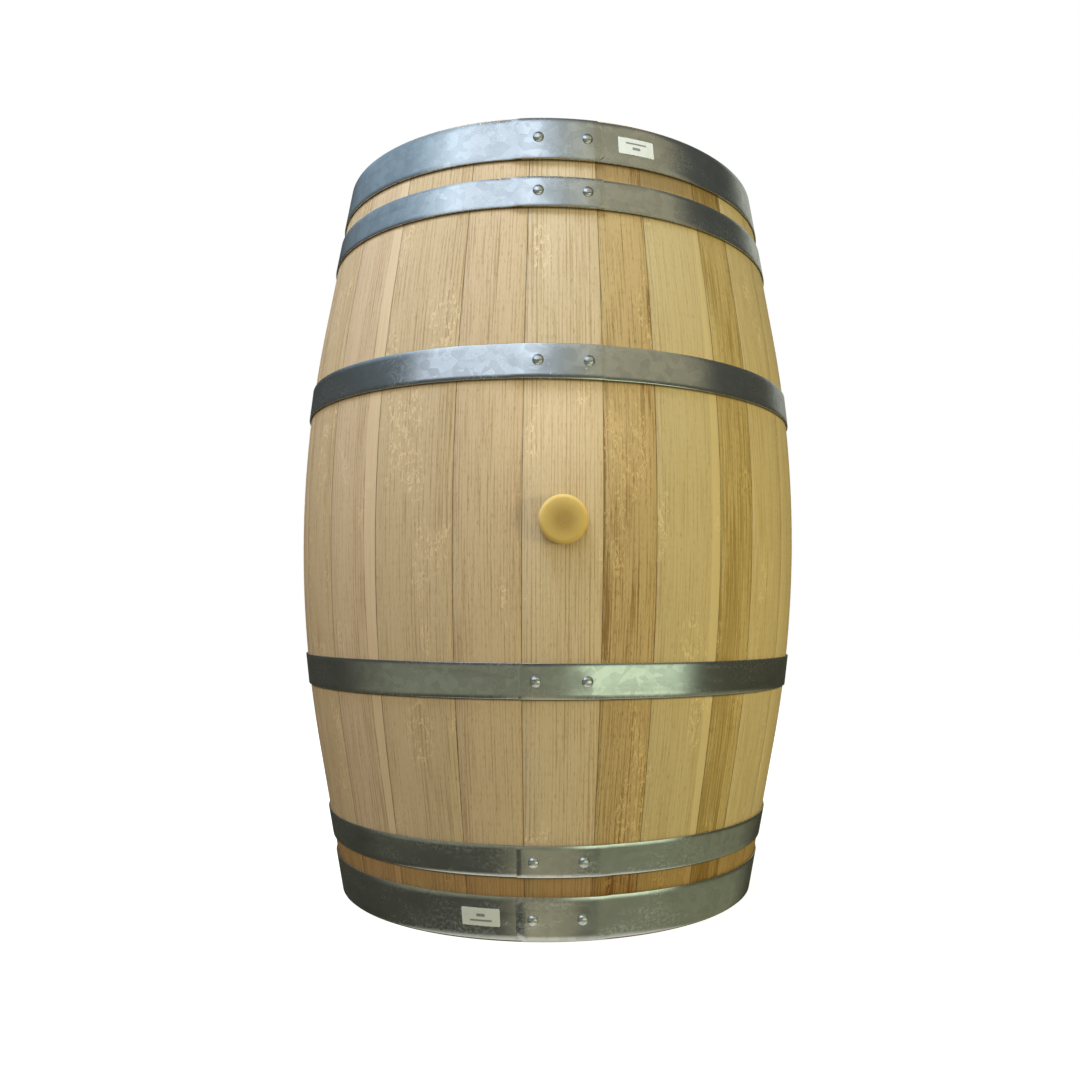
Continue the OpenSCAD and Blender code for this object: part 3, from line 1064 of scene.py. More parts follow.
@dataclass(frozen=True)
class Chime:
    """The worked end of the staves: chime bevel, howel and croze."""

    curve: BarrelCurve
    stave_t: float = 0.027
    end_t: float = 0.012
    bevel_h: float = 0.018
    howel_t: float = 0.025
    howel_run: float = 0.008
    howel_step: float = 0.005
    croze_depth: float = 0.005
    head_depth: float = 0.034
    head_t: float = 0.022
    head_edge_t: float = 0.006
    head_bevel_w: float = 0.028
    head_fit: float = 0.0003

    @property
    def croze_z(self) -> float:
        """Height of the croze's middle at the lower end."""
        return self.head_depth + self.head_t / 2

    @property
    def croze_r(self) -> float:
        """Radius of the croze's bottom."""
        return self.curve.outer(self.croze_z) - self.howel_t + self.croze_depth

    def inside(self) -> list[tuple[float, float]]:
        """The inside of a stave's lower end.

        Returns:
            (height, radius) points from the end plane inwards.
        """
        curve, z = self.curve, self.croze_z
        bevel = (self.head_t - self.head_edge_t) / 2 / self.head_bevel_w
        half = self.head_edge_t / 2 + self.head_fit
        run = self.croze_depth + half / bevel
        end_slope = 2 * curve.rate * curve.bend_half
        mouth_out = run / (1 / bevel - end_slope)
        mouth_in = run / (1 / bevel + end_slope)
        howel_end = z + mouth_in + self.howel_run
        on_howel = (self.bevel_h, z - mouth_out)
        past_croze = (z + mouth_in, howel_end)
        points = [(0.0, curve.head_r - self.end_t)]
        points += [(at, curve.outer(at) - self.howel_t) for at in on_howel]
        points += [(z - half, self.croze_r), (z + half, self.croze_r)]
        points += [(at, curve.outer(at) - self.howel_t) for at in past_croze]
        step = howel_end + self.howel_step
        return points + [(step, curve.outer(step) - self.stave_t)]

    def wall(self, z: float) -> float:
        """Thickness of the wood at a height, from either end.

        Args:
            z: the height.

        Returns:
            The thickness.
        """
        near = min(z, self.curve.length - z)
        points = self.inside()
        for (z0, r0), (z1, r1) in zip(points, points[1:]):
            if near <= z1:
                part = max(near - z0, 0.0) / (z1 - z0)
                return self.curve.outer(z) - (r0 + (r1 - r0) * part)
        return self.stave_t


def angle_span(node: bpy.types.Object) -> tuple[float, float]:
    """Measures where a stave starts and ends round the barrel.

    Args:
        node: the stave's CAD node.

    Returns:
        Its first and last angle from the front, counter-clockwise from above.
    """
    points = [vert.co for vert in node.data.vertices]
    middle = sum((Vector((p.x, p.y)).normalized() for p in points), Vector((0, 0)))
    heading = math.atan2(middle.y, middle.x)
    turn = Matrix.Rotation(-heading, 2)
    off = [math.atan2(*reversed(turn @ Vector((p.x, p.y)))) for p in points]
    return heading - FRONT + min(off), heading - FRONT + max(off)


@dataclass
class Stave:
    """One bent oak stave."""

    node: str
    chime: Chime
    number: int
    ease: float = 0.0004
    station: float = 0.02
    facet: float = math.radians(2.2)
    log_step: float = 0.53
    faces_in: float = 0.5
    faces_end: float = 0.8
    end_depth: float = 0.001
    first: float = field(init=False)
    last: float = field(init=False)

    def __post_init__(self) -> None:
        """Takes the stave's place from its CAD node."""
        self.first, self.last = angle_span(frame["nodes"][self.node])

    @property
    def middle(self) -> float:
        """Angle of the stave's middle."""
        return (self.first + self.last) / 2

    def stations(self) -> list[float]:
        """Heights at which the blank is cut so that it can bend.

        Returns:
            The heights.
        """
        curve = self.chime.curve
        ends = [z for z, _ in self.chime.inside()[1:]]
        steps = round(2 * curve.bend_half / self.station)
        low = curve.length / 2 - curve.bend_half
        bends = [low + 2 * curve.bend_half * i / steps for i in range(steps + 1)]
        return ends + bends + [curve.length - z for z in ends]

    def bent(self, point: Vector) -> Vector:
        """Where a point of the flat blank goes when the stave is bent and jointed.

        Args:
            point: a point of the flat blank.

        Returns:
            Its place in the barrel.
        """
        chime = self.chime
        width = self.width
        radius = chime.curve.outer(point.z) - point.y / chime.stave_t * chime.wall(point.z)
        angle = FRONT + self.middle + point.x / width * (self.last - self.first)
        return Vector((radius * math.cos(angle), radius * math.sin(angle), point.z))

    @property
    def width(self) -> float:
        """Width of the stave at the bilge."""
        return (self.last - self.first) * self.chime.curve.bilge_r

    def off_middle(self, point: Vector) -> tuple[float, float]:
        """Angle of a point from the stave's middle, and its radius."""
        angle = math.atan2(point.y, point.x) - FRONT - self.middle
        return math.remainder(angle, math.tau), math.hypot(point.x, point.y)

    def plank(self, point: Vector) -> Vector:
        """The point's place in the straight plank that the stave was cut from.

        Args:
            point: a point of the bent stave.

        Returns:
            Its place across, into and along the plank.
        """
        angle, radius = self.off_middle(point)
        depth = self.chime.curve.outer(point.z) - radius
        return Vector((angle * radius, depth + self.number * self.log_step, point.z))

    def joint(self, point: Vector) -> Vector:
        """The point's distances to the stave's two joints, and its height.

        Args:
            point: a point of the bent stave.

        Returns:
            Both distances and the height.
        """
        angle, radius = self.off_middle(point)
        half = (self.last - self.first) / 2
        return Vector(((half + angle) * radius, (half - angle) * radius, point.z))

    def blank(self) -> Blank:
        """Planes, cuts and bends the stave.

        Returns:
            The bent blank.
        """
        half = self.width / 2
        length = self.chime.curve.length
        blank = Blank().block((-half, 0, 0), (half, self.chime.stave_t, length))
        blank.ease_edges(self.ease)
        for z in self.stations():
            blank.saw((0, 0, z), (0, 0, 1))
        count = max(4, round((self.last - self.first) / self.facet))
        for i in range(1, count):
            blank.saw((2 * half * i / count - half, 0, 0), (1, 0, 0))
        return blank.shape(self.bent)

    def dress(self, blank: Blank) -> None:
        """Numbers the faces: 0 planed, 1 toasted, 2 end grain.

        Args:
            blank: the stave's blank.
        """
        chime = self.chime
        low, high = chime.inside()[-1][0], chime.curve.length - chime.inside()[-1][0]
        for face in blank.bm.faces:
            middle, normal = face.calc_center_median(), face.normal
            outwards = Vector((middle.x, middle.y, 0)).normalized()
            from_end = min(middle.z, chime.curve.length - middle.z)
            if normal.dot(outwards) < -self.faces_in and low < middle.z < high:
                face.material_index = 1
            elif abs(normal.z) > self.faces_end and from_end < self.end_depth:
                face.material_index = 2

    def make(self, finishes: Sequence[bpy.types.Material]) -> bpy.types.Object:
        """Makes the stave's piece.

        Args:
            finishes: planed oak, toasted oak and end grain.

        Returns:
            The piece, riding on the barrel.
        """
        blank = self.blank()
        self.work(blank)
        blank.weld()
        self.dress(blank)
        blank.carry("plank", self.plank).carry("joint", self.joint)
        piece = blank.to_piece(f"{self.node}_oak", finishes)
        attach(piece, BODY)
        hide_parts(self.node)
        return piece

    def work(self, blank: Blank) -> None:
        """Further work on the bent blank: a plain stave has none."""


@dataclass
class BungStave(Stave):
    """The wide stave that the bung hole is bored in."""

    hole_d: float = 0.050
    taper: float = math.radians(3.5)
    rim_ease: float = 0.0008
    rim_rise: float = 0.4
    rim_flare: float = 3.0
    over: float = 0.003
    hole_steps: int = 64

    def seat(self) -> Matrix:
        """Puts +Z along the bung's axis, with the origin at the outside of the bilge.

        Returns:
            The seat's matrix.
        """
        curve = self.chime.curve
        place = Matrix.Translation((0, -curve.bilge_r, curve.length / 2))
        return place @ Matrix.Rotation(math.pi / 2, 4, "X")

    def hole_r(self, height: float) -> float:
        """Radius of the tapered hole at a height above the outside of the bilge."""
        return self.hole_d / 2 + height * math.tan(self.taper)

    def work(self, blank: Blank) -> None:
        """Bores the tapered hole and burns its rim smooth.

        Args:
            blank: the stave's blank.
        """
        deep = -self.chime.stave_t - self.over
        ease = self.rim_ease
        outline = [(0, deep), (self.hole_r(deep), deep), (self.hole_r(-ease), -ease),
                   (self.hole_r(0) + ease, ease * self.rim_rise),
                   (self.hole_r(0) + self.rim_flare * ease, self.over), (0, self.over)]
        blank.cut_away(Blank().turned(outline, steps=self.hole_steps, seat=self.seat()))


@dataclass
class StaveRow:
    """All the staves, in their order round the barrel."""

    chime: Chime
    right_of_bung: tuple[Oak, ...] = (Oak.AMBER, Oak.STRAW_EDGED, Oak.OLIVE, Oak.STRAW)
    left_of_bung: tuple[Oak, ...] = (Oak.ROSE_EDGED, Oak.TAN, Oak.ROSE)
    elsewhere: tuple[Oak, ...] = (Oak.STRAW, Oak.TAN, Oak.CREAM, Oak.STRAW, Oak.ROSE,
                                  Oak.AMBER_PLAIN, Oak.CREAM, Oak.ROSE, Oak.TAN, Oak.OLIVE)

    def tones(self, count: int) -> list[Oak]:
        """The oak of each stave, from the bung stave counter-clockwise.

        Args:
            count: the number of staves.

        Returns:
            One tone for each stave.
        """
        right, left = list(self.right_of_bung), list(self.left_of_bung)
        rest = count - 1 - len(right) - len(left)
        back = [self.elsewhere[i % len(self.elsewhere)] for i in range(rest)]
        return [Oak.CREAM] + right + back + left

    def build(self) -> None:
        """Makes every stave."""
        names = [name for name in frame["record"]["behaviour"]["bodies"][BODY]
                 if name.endswith("stave") or name.startswith("stave_")]
        toasted, end_grain = Toast().make(), EndGrain().make()
        for number, (name, oak) in enumerate(zip(names, self.tones(len(names)))):
            kind = BungStave if name == "bung_stave" else Stave
            kind(name, self.chime, number).make((oak.planed(), toasted, end_grain))
        LOG.info("staves: %d", len(names))


@dataclass
class Head:
    """One head: boards joined with dowels and reed, bevelled into the croze."""

    end: str
    chime: Chime
    facets: int = 192
    ease: float = 0.0006
    bend_over: float = 12.0
    rim_rise: float = 0.2
    rim_side: float = 0.7
    dowel_r: float = 0.0041
    dowel_play: float = 0.001
    dowel_steps: int = 16
    log_step: float = 0.61
    tones: tuple[Oak, ...] = (Oak.TAN, Oak.CREAM, Oak.STRAW, Oak.ROSE, Oak.CREAM, Oak.OLIVE)

    @property
    def middle_z(self) -> float:
        """Height of the head's middle plane."""
        z = self.chime.croze_z
        return z if self.end == "bottom" else self.chime.curve.length - z

    def outline(self) -> list[tuple[float, float]]:
        """The head's section, from its axis round the rim and back.

        Returns:
            Its (radius, height) points.
        """
        chime = self.chime
        radius = chime.croze_r - chime.head_fit
        half, edge = chime.head_t / 2, chime.head_edge_t / 2
        flat = radius - chime.head_bevel_w
        return [(0, -half), (flat / 2, -half), (flat, -half), (radius, -edge),
                (radius, edge), (flat, half), (flat / 2, half), (0, half)]

    def board(self, number: int, planed: bpy.types.Material,
              sawn: bpy.types.Material) -> bpy.types.Object:
        """Makes one board.

        Args:
            number: the board's number, from 1.
            planed: the material of its faces.
            sawn: the material of its end grain.

        Returns:
            The piece.
        """
        node = f"{self.end}_head_board_{number}"
        low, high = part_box(node)
        lift = Matrix.Translation((0, 0, self.middle_z))
        blank = Blank().turned(self.outline(), steps=self.facets, seat=lift)
        if number > 1:
            blank.trim((low.x, 0, 0), (-1, 0, 0))
        if number < len(self.tones):
            blank.trim((high.x, 0, 0), (1, 0, 0))
        middle = (low.x + high.x) / 2
        face_z = self.middle_z

        def on_joint(edge: bmesh.types.BMEdge) -> bool:
            """Says whether an edge touches a joint of the board."""
            return any(abs(vert.co.x - x) < TOUCH for vert in edge.verts for x in (low.x, high.x))

        def plank(point: Vector) -> Vector:
            """The point's place in the board, with its grain along Y."""
            depth = point.z - face_z + number * self.log_step
            return Vector((point.x - middle, depth, point.y))

        def joint(point: Vector) -> Vector:
            """The point's distances to the board's two joints, and a height that gets no stain or
            painted shade.

            Args:
                point: a point of the board.

            Returns:
                Both distances and the height.
            """
            left = point.x - low.x if number > 1 else NO_JOINT
            right = high.x - point.x if number < len(self.tones) else NO_JOINT
            return Vector((left, right, self.chime.curve.length / 2))

        blank.ease_edges(self.ease, over=self.bend_over, chosen=on_joint)
        self.bore(blank)
        blank.weld().carry("plank", plank).carry("joint", joint)
        for face in blank.bm.faces:
            on_rim = abs(face.normal.z) < self.rim_rise and abs(face.normal.x) < self.rim_side
            face.material_index = 1 if on_rim else 0
        piece = blank.to_piece(f"{node}_oak", (planed, sawn))
        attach(piece, BODY)
        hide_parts(node)
        return piece

    def bore(self, blank: Blank) -> None:
        """Bores the holes that the dowels of this head's joints go in.

        Args:
            blank: the board's blank.
        """
        bits = Blank()
        for centre, half in dowel_places(frame["nodes"][f"{self.end}_head_dowels"]):
            turn = Matrix.Translation(centre) @ Matrix.Rotation(math.pi / 2, 4, "Y")
            reach = half + self.dowel_play
            outline = [(0, -reach), (self.dowel_r, -reach), (self.dowel_r, reach), (0, reach)]
            bits.turned(outline, steps=self.dowel_steps, seat=turn)
        blank.cut_away(bits)

    def build(self) -> None:
        """Makes every board of the head."""
        sawn = EndGrain().make()
        for number, tone in enumerate(self.tones, start=1):
            self.board(number, tone.planed(), sawn)
        LOG.info("%s head: %d boards", self.end, len(self.tones))


def dowel_places(node: bpy.types.Object) -> list[tuple[Vector, float]]:
    """Finds each dowel of a group.

    Args:
        node: the CAD node of the group; its dowels lie along X.

    Returns:
        Each dowel's centre and half its length.
    """
    groups: list[list[Vector]] = []
    for point in (vert.co for vert in node.data.vertices):
        near = [group for group in groups if (group[0] - point).length < DOWEL_LONG
                and abs(group[0].y - point.y) < DOWEL_APART]
        if near:
            near[0].append(point)
        else:
            groups.append([point.copy()])
    places = []
    for group in groups:
        low = Vector(min(p[i] for p in group) for i in range(3))
        high = Vector(max(p[i] for p in group) for i in range(3))
        places.append(((low + high) / 2, (high.x - low.x) / 2))
    return places


# ------------------------------------------------------------------ the hoops


@dataclass
class Hoop:
    """A strip rolled round the barrel, lapped over itself and closed with two rivets.

    It is worked out for the top end. The lower hoops are the same, turned over about the
    bung's axis.
    """

    end: str
    kind: str
    curve: BarrelCurve
    number: int
    clip: float = 0.0
    steel_t: float = 0.002
    fit: float = 0.0003
    lap_gap: float = 0.0003
    rivet_pitch: float = 0.056
    lap_end: float = 0.019
    step_gap: float = 0.003
    step_run: float = 0.012
    ease: float = 0.0008
    facet: float = 0.006
    rows: int = 8
    boss: float = 0.0006
    boss_r: float = 0.0095
    coil_step: float = 3.7
    middle_z: float = field(init=False)
    width: float = field(init=False)

    def __post_init__(self) -> None:
        """Takes the hoop's place from its CAD node."""
        low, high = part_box(self.node)
        self.width = high.z - low.z
        middle = (low.z + high.z) / 2
        self.middle_z = middle if self.end == "top" else self.curve.length - middle

    @property
    def node(self) -> str:
        """Name of the hoop's CAD node."""
        return f"{self.end}_{self.kind}_hoop"

    @property
    def inner_r(self) -> float:
        """Radius of the hoop's inside at the middle of its width."""
        return self.curve.outer(self.middle_z) + self.fit

    @property
    def lean(self) -> float:
        """Angle that the hoop's outside leans back from upright."""
        return math.atan(-self.curve.slope(self.middle_z))

    @property
    def girth(self) -> float:
        """Distance round the hoop's inside."""
        return math.tau * self.inner_r

    @property
    def lap(self) -> float:
        """Distance from the lap's middle to the end of the strip."""
        return self.rivet_pitch / 2 + self.lap_end

    @property
    def lap_t(self) -> float:
        """Thickness of the lap."""
        return 2 * self.steel_t + self.lap_gap

    def lift(self, along: float, up: float) -> float:
        """How far the strip stands off the wood: its last end rides over its first.

        Args:
            along: distance along the strip from the lap's middle.
            up: distance above the strip's middle line.

        Returns:
            The lift, with the low boss that each rivet draws up in the outer end.
        """
        step_end = self.girth - self.lap - self.step_gap
        rise = smooth_step(step_end - self.step_run, step_end, along)
        bosses = 0.0
        if along > step_end:
            for side in (-1, 1):
                off = along - self.girth - side * self.rivet_pitch / 2
                bosses += self.boss * math.exp(-(off * off + up * up) / self.boss_r ** 2)
        return rise * (self.steel_t + self.lap_gap) + bosses

    def rolled(self, point: Vector) -> Vector:
        """Where a point of the flat strip goes when it is rolled up.

        Args:
            point: a point of the flat strip.

        Returns:
            Its place on the barrel.
        """
        off = (point.y + self.lift(point.x, point.z)) / math.cos(self.lean)
        radius = self.inner_r + self.curve.slope(self.middle_z) * point.z + off
        angle = FRONT + point.x / self.inner_r
        return Vector((radius * math.cos(angle), radius * math.sin(angle),
                       self.middle_z + point.z))

    def turned_over(self, point: Vector) -> Vector:
        """Moves a point of a top hoop to the end that this hoop is on.

        Args:
            point: a point of a top hoop.

        Returns:
            Its place on this hoop's end of the barrel.
        """
        if self.end == "top":
            return point
        return Vector((-point.x, point.y, self.curve.length - point.z))

    def make(self, finish: bpy.types.Material) -> bpy.types.Object:
        """Cuts, eases and rolls the strip.

        Args:
            finish: the material.

        Returns:
            The piece.
        """
        first, last, half = -self.lap, self.girth + self.lap, self.width / 2
        blank = Blank().block((first, 0, -half), (last, self.steel_t, half))
        if self.clip:
            for side in (-1, 1):
                blank.trim((last - self.clip, 0, side * half), (1, 0, side))
        blank.ease_edges(self.ease)
        blank.divide("x", round((last - first) / self.facet) - 1, longer=self.girth / 2)
        blank.divide("z", self.rows - 1, longer=self.width * 0.7)

        def strip(point: Vector) -> Vector:
            """Distance along the strip, up from its middle, and to its nearest edge."""
            edge = min(point.x - first, last - point.x, half - abs(point.z))
            return Vector((point.x + self.number * self.coil_step, point.z, edge))

        blank.carry("strip", strip)
        blank.shape(self.rolled).shape(self.turned_over).weld()
        piece = blank.to_piece(f"{self.node}_steel", (finish,))
        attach(piece, BODY)
        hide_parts(self.node)
        return piece

    def rivet_seat(self, side: int) -> Matrix:
        """Puts +Z along a rivet, with the origin at the hoop's inside.

        Args:
            side: -1 or 1, for the rivet to the left or to the right.

        Returns:
            The seat's matrix.
        """
        angle = FRONT + side * self.rivet_pitch / 2 / self.inner_r
        turn = Matrix.Rotation(angle, 4, "Z")
        place = Matrix.Translation((self.inner_r, 0, self.middle_z))
        return turn @ place @ Matrix.Rotation(math.pi / 2 - self.lean, 4, "Y")


@dataclass
class RivetPair:
    """The two rivets of one lap."""

    hoop: Hoop
    shank_r: float = 0.003
    foot_r: float = 0.0046
    foot_h: float = 0.0014
    dome_r: float = 0.0065
    dome_h: float = 0.0038
    fullness: float = 0.85
    undercut: float = 0.97
    fit: float = 0.00005
    arc_steps: int = 9
    steps: int = 32

    def outline(self) -> list[tuple[float, float]]:
        """The rivet's section, from its foot to the top of its dome.

        Returns:
            Its (radius, height) points.
        """
        base = self.hoop.lap_t + self.fit
        dome = []
        for i in range(self.arc_steps + 1):
            angle = math.pi / 2 * i / self.arc_steps
            radius = self.dome_r * math.cos(angle) ** self.fullness
            dome.append((radius, base + self.dome_h * math.sin(angle)))
        dome[-1] = (0.0, base + self.dome_h)
        foot = [(0.0, 0.0), (self.foot_r, 0.0), (self.shank_r, self.foot_h), (self.shank_r, base)]
        return foot + [(self.dome_r * self.undercut, base)] + dome

    def make(self, finish: bpy.types.Material) -> bpy.types.Object:
        """Makes both rivets.

        Args:
            finish: the material.

        Returns:
            The piece.
        """
        hoop = self.hoop
        blank = Blank()
        seats = [hoop.rivet_seat(side) for side in (-1, 1)]
        for seat in seats:
            blank.turned(self.outline(), steps=self.steps, seat=seat)
        undo = [seat.inverted() for seat in seats]

        def off_axis(local: Vector) -> float:
            """Distance from a rivet's axis, of a point in that rivet's own frame."""
            return math.hypot(local.x, local.y)

        def dome(point: Vector) -> Vector:
            """Distance from the nearer rivet's axis, and height above the hoop."""
            local = min((matrix @ point for matrix in undo), key=off_axis)
            return Vector((off_axis(local), local.z - hoop.lap_t, 0))

        blank.carry("dome", dome).shape(hoop.turned_over).weld()
        piece = blank.to_piece(f"{hoop.node}_rivets_zinc", (finish,))
        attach(piece, BODY)
        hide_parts(f"{hoop.node}_rivets")
        return piece


@dataclass
class Labels:
    """A stock label on each head hoop, beside the lap."""

    hoops: Sequence[Hoop]
    film: LabelFilm
    centre: float = 0.088
    film_t: float = 0.0003
    lift: float = 0.00005
    corner: float = 0.0012
    corner_segments: int = 4
    cuts: int = 15

    def stuck_on(self, hoop: Hoop) -> Blank:
        """Cuts a label and sticks it on a hoop.

        Args:
            hoop: the head hoop.

        Returns:
            The label's blank.
        """
        half_w, half_h = self.film.width / 2, self.film.height / 2

        def upright(edge: bmesh.types.BMEdge) -> bool:
            """Says whether an edge runs through the film's thickness."""
            return abs(edge.verts[0].co.y - edge.verts[1].co.y) > self.film_t / 2

        def strip(point: Vector) -> Vector:
            """Distance from the label's middle, and to its nearest edge."""
            edge = min(half_w - abs(point.x), half_h - abs(point.z))
            return Vector((point.x, point.z, edge))

        def stuck(point: Vector) -> Vector:
            """Where a point of the flat label goes on the hoop."""
            off = Vector((self.centre, hoop.steel_t + self.lift, 0))
            return hoop.turned_over(hoop.rolled(point + off))

        label = Blank().block((-half_w, 0, -half_h), (half_w, self.film_t, half_h))
        label.ease_edges(self.corner, segments=self.corner_segments, chosen=upright)
        label.divide("x", self.cuts, longer=half_w)
        return label.carry("strip", strip).shape(stuck)

    def make(self) -> bpy.types.Object:
        """Makes both labels as one piece.

        Returns:
            The piece.
        """
        blank = Blank()
        for hoop in self.hoops:
            blank.take(self.stuck_on(hoop))
        blank.weld()
        piece = blank.to_piece("stock_labels_film", (self.film.make(),))
        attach(piece, BODY)
        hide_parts("stock_labels")
        LOG.info("labels: %d", len(self.hoops))
        return piece


@dataclass
class HoopSet:
    """The six hoops with their rivets, and the labels on two of them."""

    curve: BarrelCurve
    clips: tuple[tuple[str, float], ...] = (("head", 0.0065), ("quarter", 0.0), ("bilge", 0.0))

    def build(self) -> None:
        """Makes every hoop and what is on it."""
        steel, zinc = Galvanised().make(), ZincRivet().make()
        labelled = []
        number = 0
        for end in ("top", "bottom"):
            for kind, clip in self.clips:
                hoop = Hoop(end, kind, self.curve, number, clip=clip)
                hoop.make(steel)
                RivetPair(hoop).make(zinc)
                if kind == "head":
                    labelled.append(hoop)
                number += 1
        LOG.info("hoops: %d, each with two rivets", number)
        Labels(labelled, LabelFilm()).make()


@dataclass
class Bung:
    """A soft bung: a tapered body under a thick round cap."""

    stave: BungStave
    fit: float = 0.00025
    reach: float = 0.032
    cap_d: float = 0.054
    cap_h: float = 0.013
    cap_gap: float = 0.0005
    cap_round: float = 0.0048
    under_round: float = 0.002
    tip_round: float = 0.0015
    crown: float = 0.0006
    arc_steps: int = 8
    steps: int = 96

    def arc(self, centre: tuple[float, float], radius: float,
            start: float) -> list[tuple[float, float]]:
        """A quarter round.

        Args:
            centre: the (radius, height) of its centre.
            radius: its radius.
            start: its first angle, in quarter turns.

        Returns:
            Its points.
        """
        turns = [(start + i / self.arc_steps) * math.pi / 2 for i in range(self.arc_steps + 1)]
        return [(centre[0] + radius * math.cos(a), centre[1] + radius * math.sin(a)) for a in turns]

    def outline(self) -> list[tuple[float, float]]:
        """The bung's section, from its tip to the middle of its cap.

        Returns:
            Its (radius, height) points.
        """
        hole_r = self.stave.hole_r
        tip = hole_r(-self.reach) - self.fit
        cap = self.cap_d / 2
        shoulder = self.cap_h - self.crown - self.cap_round
        points = [(0.0, -self.reach)]
        points += self.arc((tip - self.tip_round, self.tip_round - self.reach), self.tip_round, -1)
        points += [(hole_r(self.cap_gap) - self.fit, self.cap_gap)]
        points += self.arc((cap - self.under_round, self.cap_gap + self.under_round),
                           self.under_round, -1)
        points += self.arc((cap - self.cap_round, shoulder), self.cap_round, 0)
        for part in (0.75, 0.5, 0.25, 0.0):
            radius = (cap - self.cap_round) * part
            points.append((radius, self.cap_h - self.crown * part * part))
        return points

    def make(self) -> bpy.types.Object:
        """Makes the bung's piece, riding on its own body.

        Returns:
            The piece.
        """
        seat = self.stave.seat()
        blank = Blank().turned(self.outline(), steps=self.steps, seat=seat)
        finish = Silicone().make(seat.translation)
        piece = blank.to_piece("bung_silicone", (finish,), sharp=50.0)
        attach(piece, BUNG_BODY)
        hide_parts("bung")
        LOG.info("bung: cap %.0f mm across", self.cap_d * 1000)
        return piece


@dataclass
class InnerWork:
    """The dowels and the reed, which stay as the frame has them and get their finish here."""

    dowel: DryStalk = DryStalk("beech_dowel", pale=(0.60, 0.40, 0.24), deep=(0.44, 0.27, 0.14),
                               fibre=(14, 700, 700))
    reed: DryStalk = DryStalk("dry_reed", pale=(0.62, 0.52, 0.28), deep=(0.40, 0.31, 0.13),
                              fibre=(400, 14, 700))

    def build(self) -> None:
        """Gives each group its finish."""
        for stalk, kind in ((self.dowel, "dowels"), (self.reed, "reeds")):
            finish = stalk.make()
            for end in ("top", "bottom"):
                node = frame["nodes"][f"{end}_head_{kind}"]
                for slot in node.material_slots:
                    slot.material = finish
        LOG.info("dowels and reed: finished in place")


# ------------------------------------------------------------------ the studio


def bearing_vector(bearing: float, elevation: float) -> Vector:
    """Unit vector towards a bearing from the front, and an elevation, in degrees.

    Args:
        bearing: the bearing, positive to the right.
        elevation: the elevation.

    Returns:
        The vector.
    """
    turn, rise = math.radians(bearing), math.radians(elevation)
    return Vector((math.sin(turn) * math.cos(rise), -math.cos(turn) * math.cos(rise),
                   math.sin(rise)))


@dataclass(frozen=True)
class SoftLight:
    """A rectangular soft box that faces a point on the barrel, with its angles in degrees."""

    name: str
    bearing: float
    elevation: float
    distance: float
    size: tuple[float, float]
    watts: float
    colour: Colour
    target: Colour = (0.0, 0.0, 0.5)
    spread: float = 180

    def build(self) -> None:
        """Hangs the light. It lights the wood only: the steel mirrors the room's panes instead."""
        data = bpy.data.lights.new(self.name, "AREA")
        data.shape = "RECTANGLE"
        data.size, data.size_y = self.size
        data.energy = self.watts
        data.color = self.colour
        data.spread = math.radians(self.spread)
        light = bpy.data.objects.new(self.name, data)
        back = bearing_vector(self.bearing, self.elevation)
        light.location = Vector(self.target) + back * self.distance
        light.rotation_mode = "QUATERNION"
        light.rotation_quaternion = (-back).to_track_quat("-Z", "Y")
        light.visible_glossy = False
        bpy.context.scene.collection.objects.link(light)


@dataclass(frozen=True)
class Pane:
    """A soft-edged bright part of the room, far away. Its angles are in degrees."""

    bearing: float
    elevation: float
    half_w: float
    half_h: float
    soft_w: float
    soft_h: float
    colour: Colour


class RoomBench(NodeBench):
    """Lays out the nodes of the world."""

    def __init__(self, name: str) -> None:
        """Starts the world that surrounds the scene.

        Args:
            name: the world's name.
        """
        world = bpy.data.worlds.new(name)
        world.use_nodes = True
        bpy.context.scene.world = world
        self.tree = world.node_tree
        self.shader = self.tree.nodes["Background"]


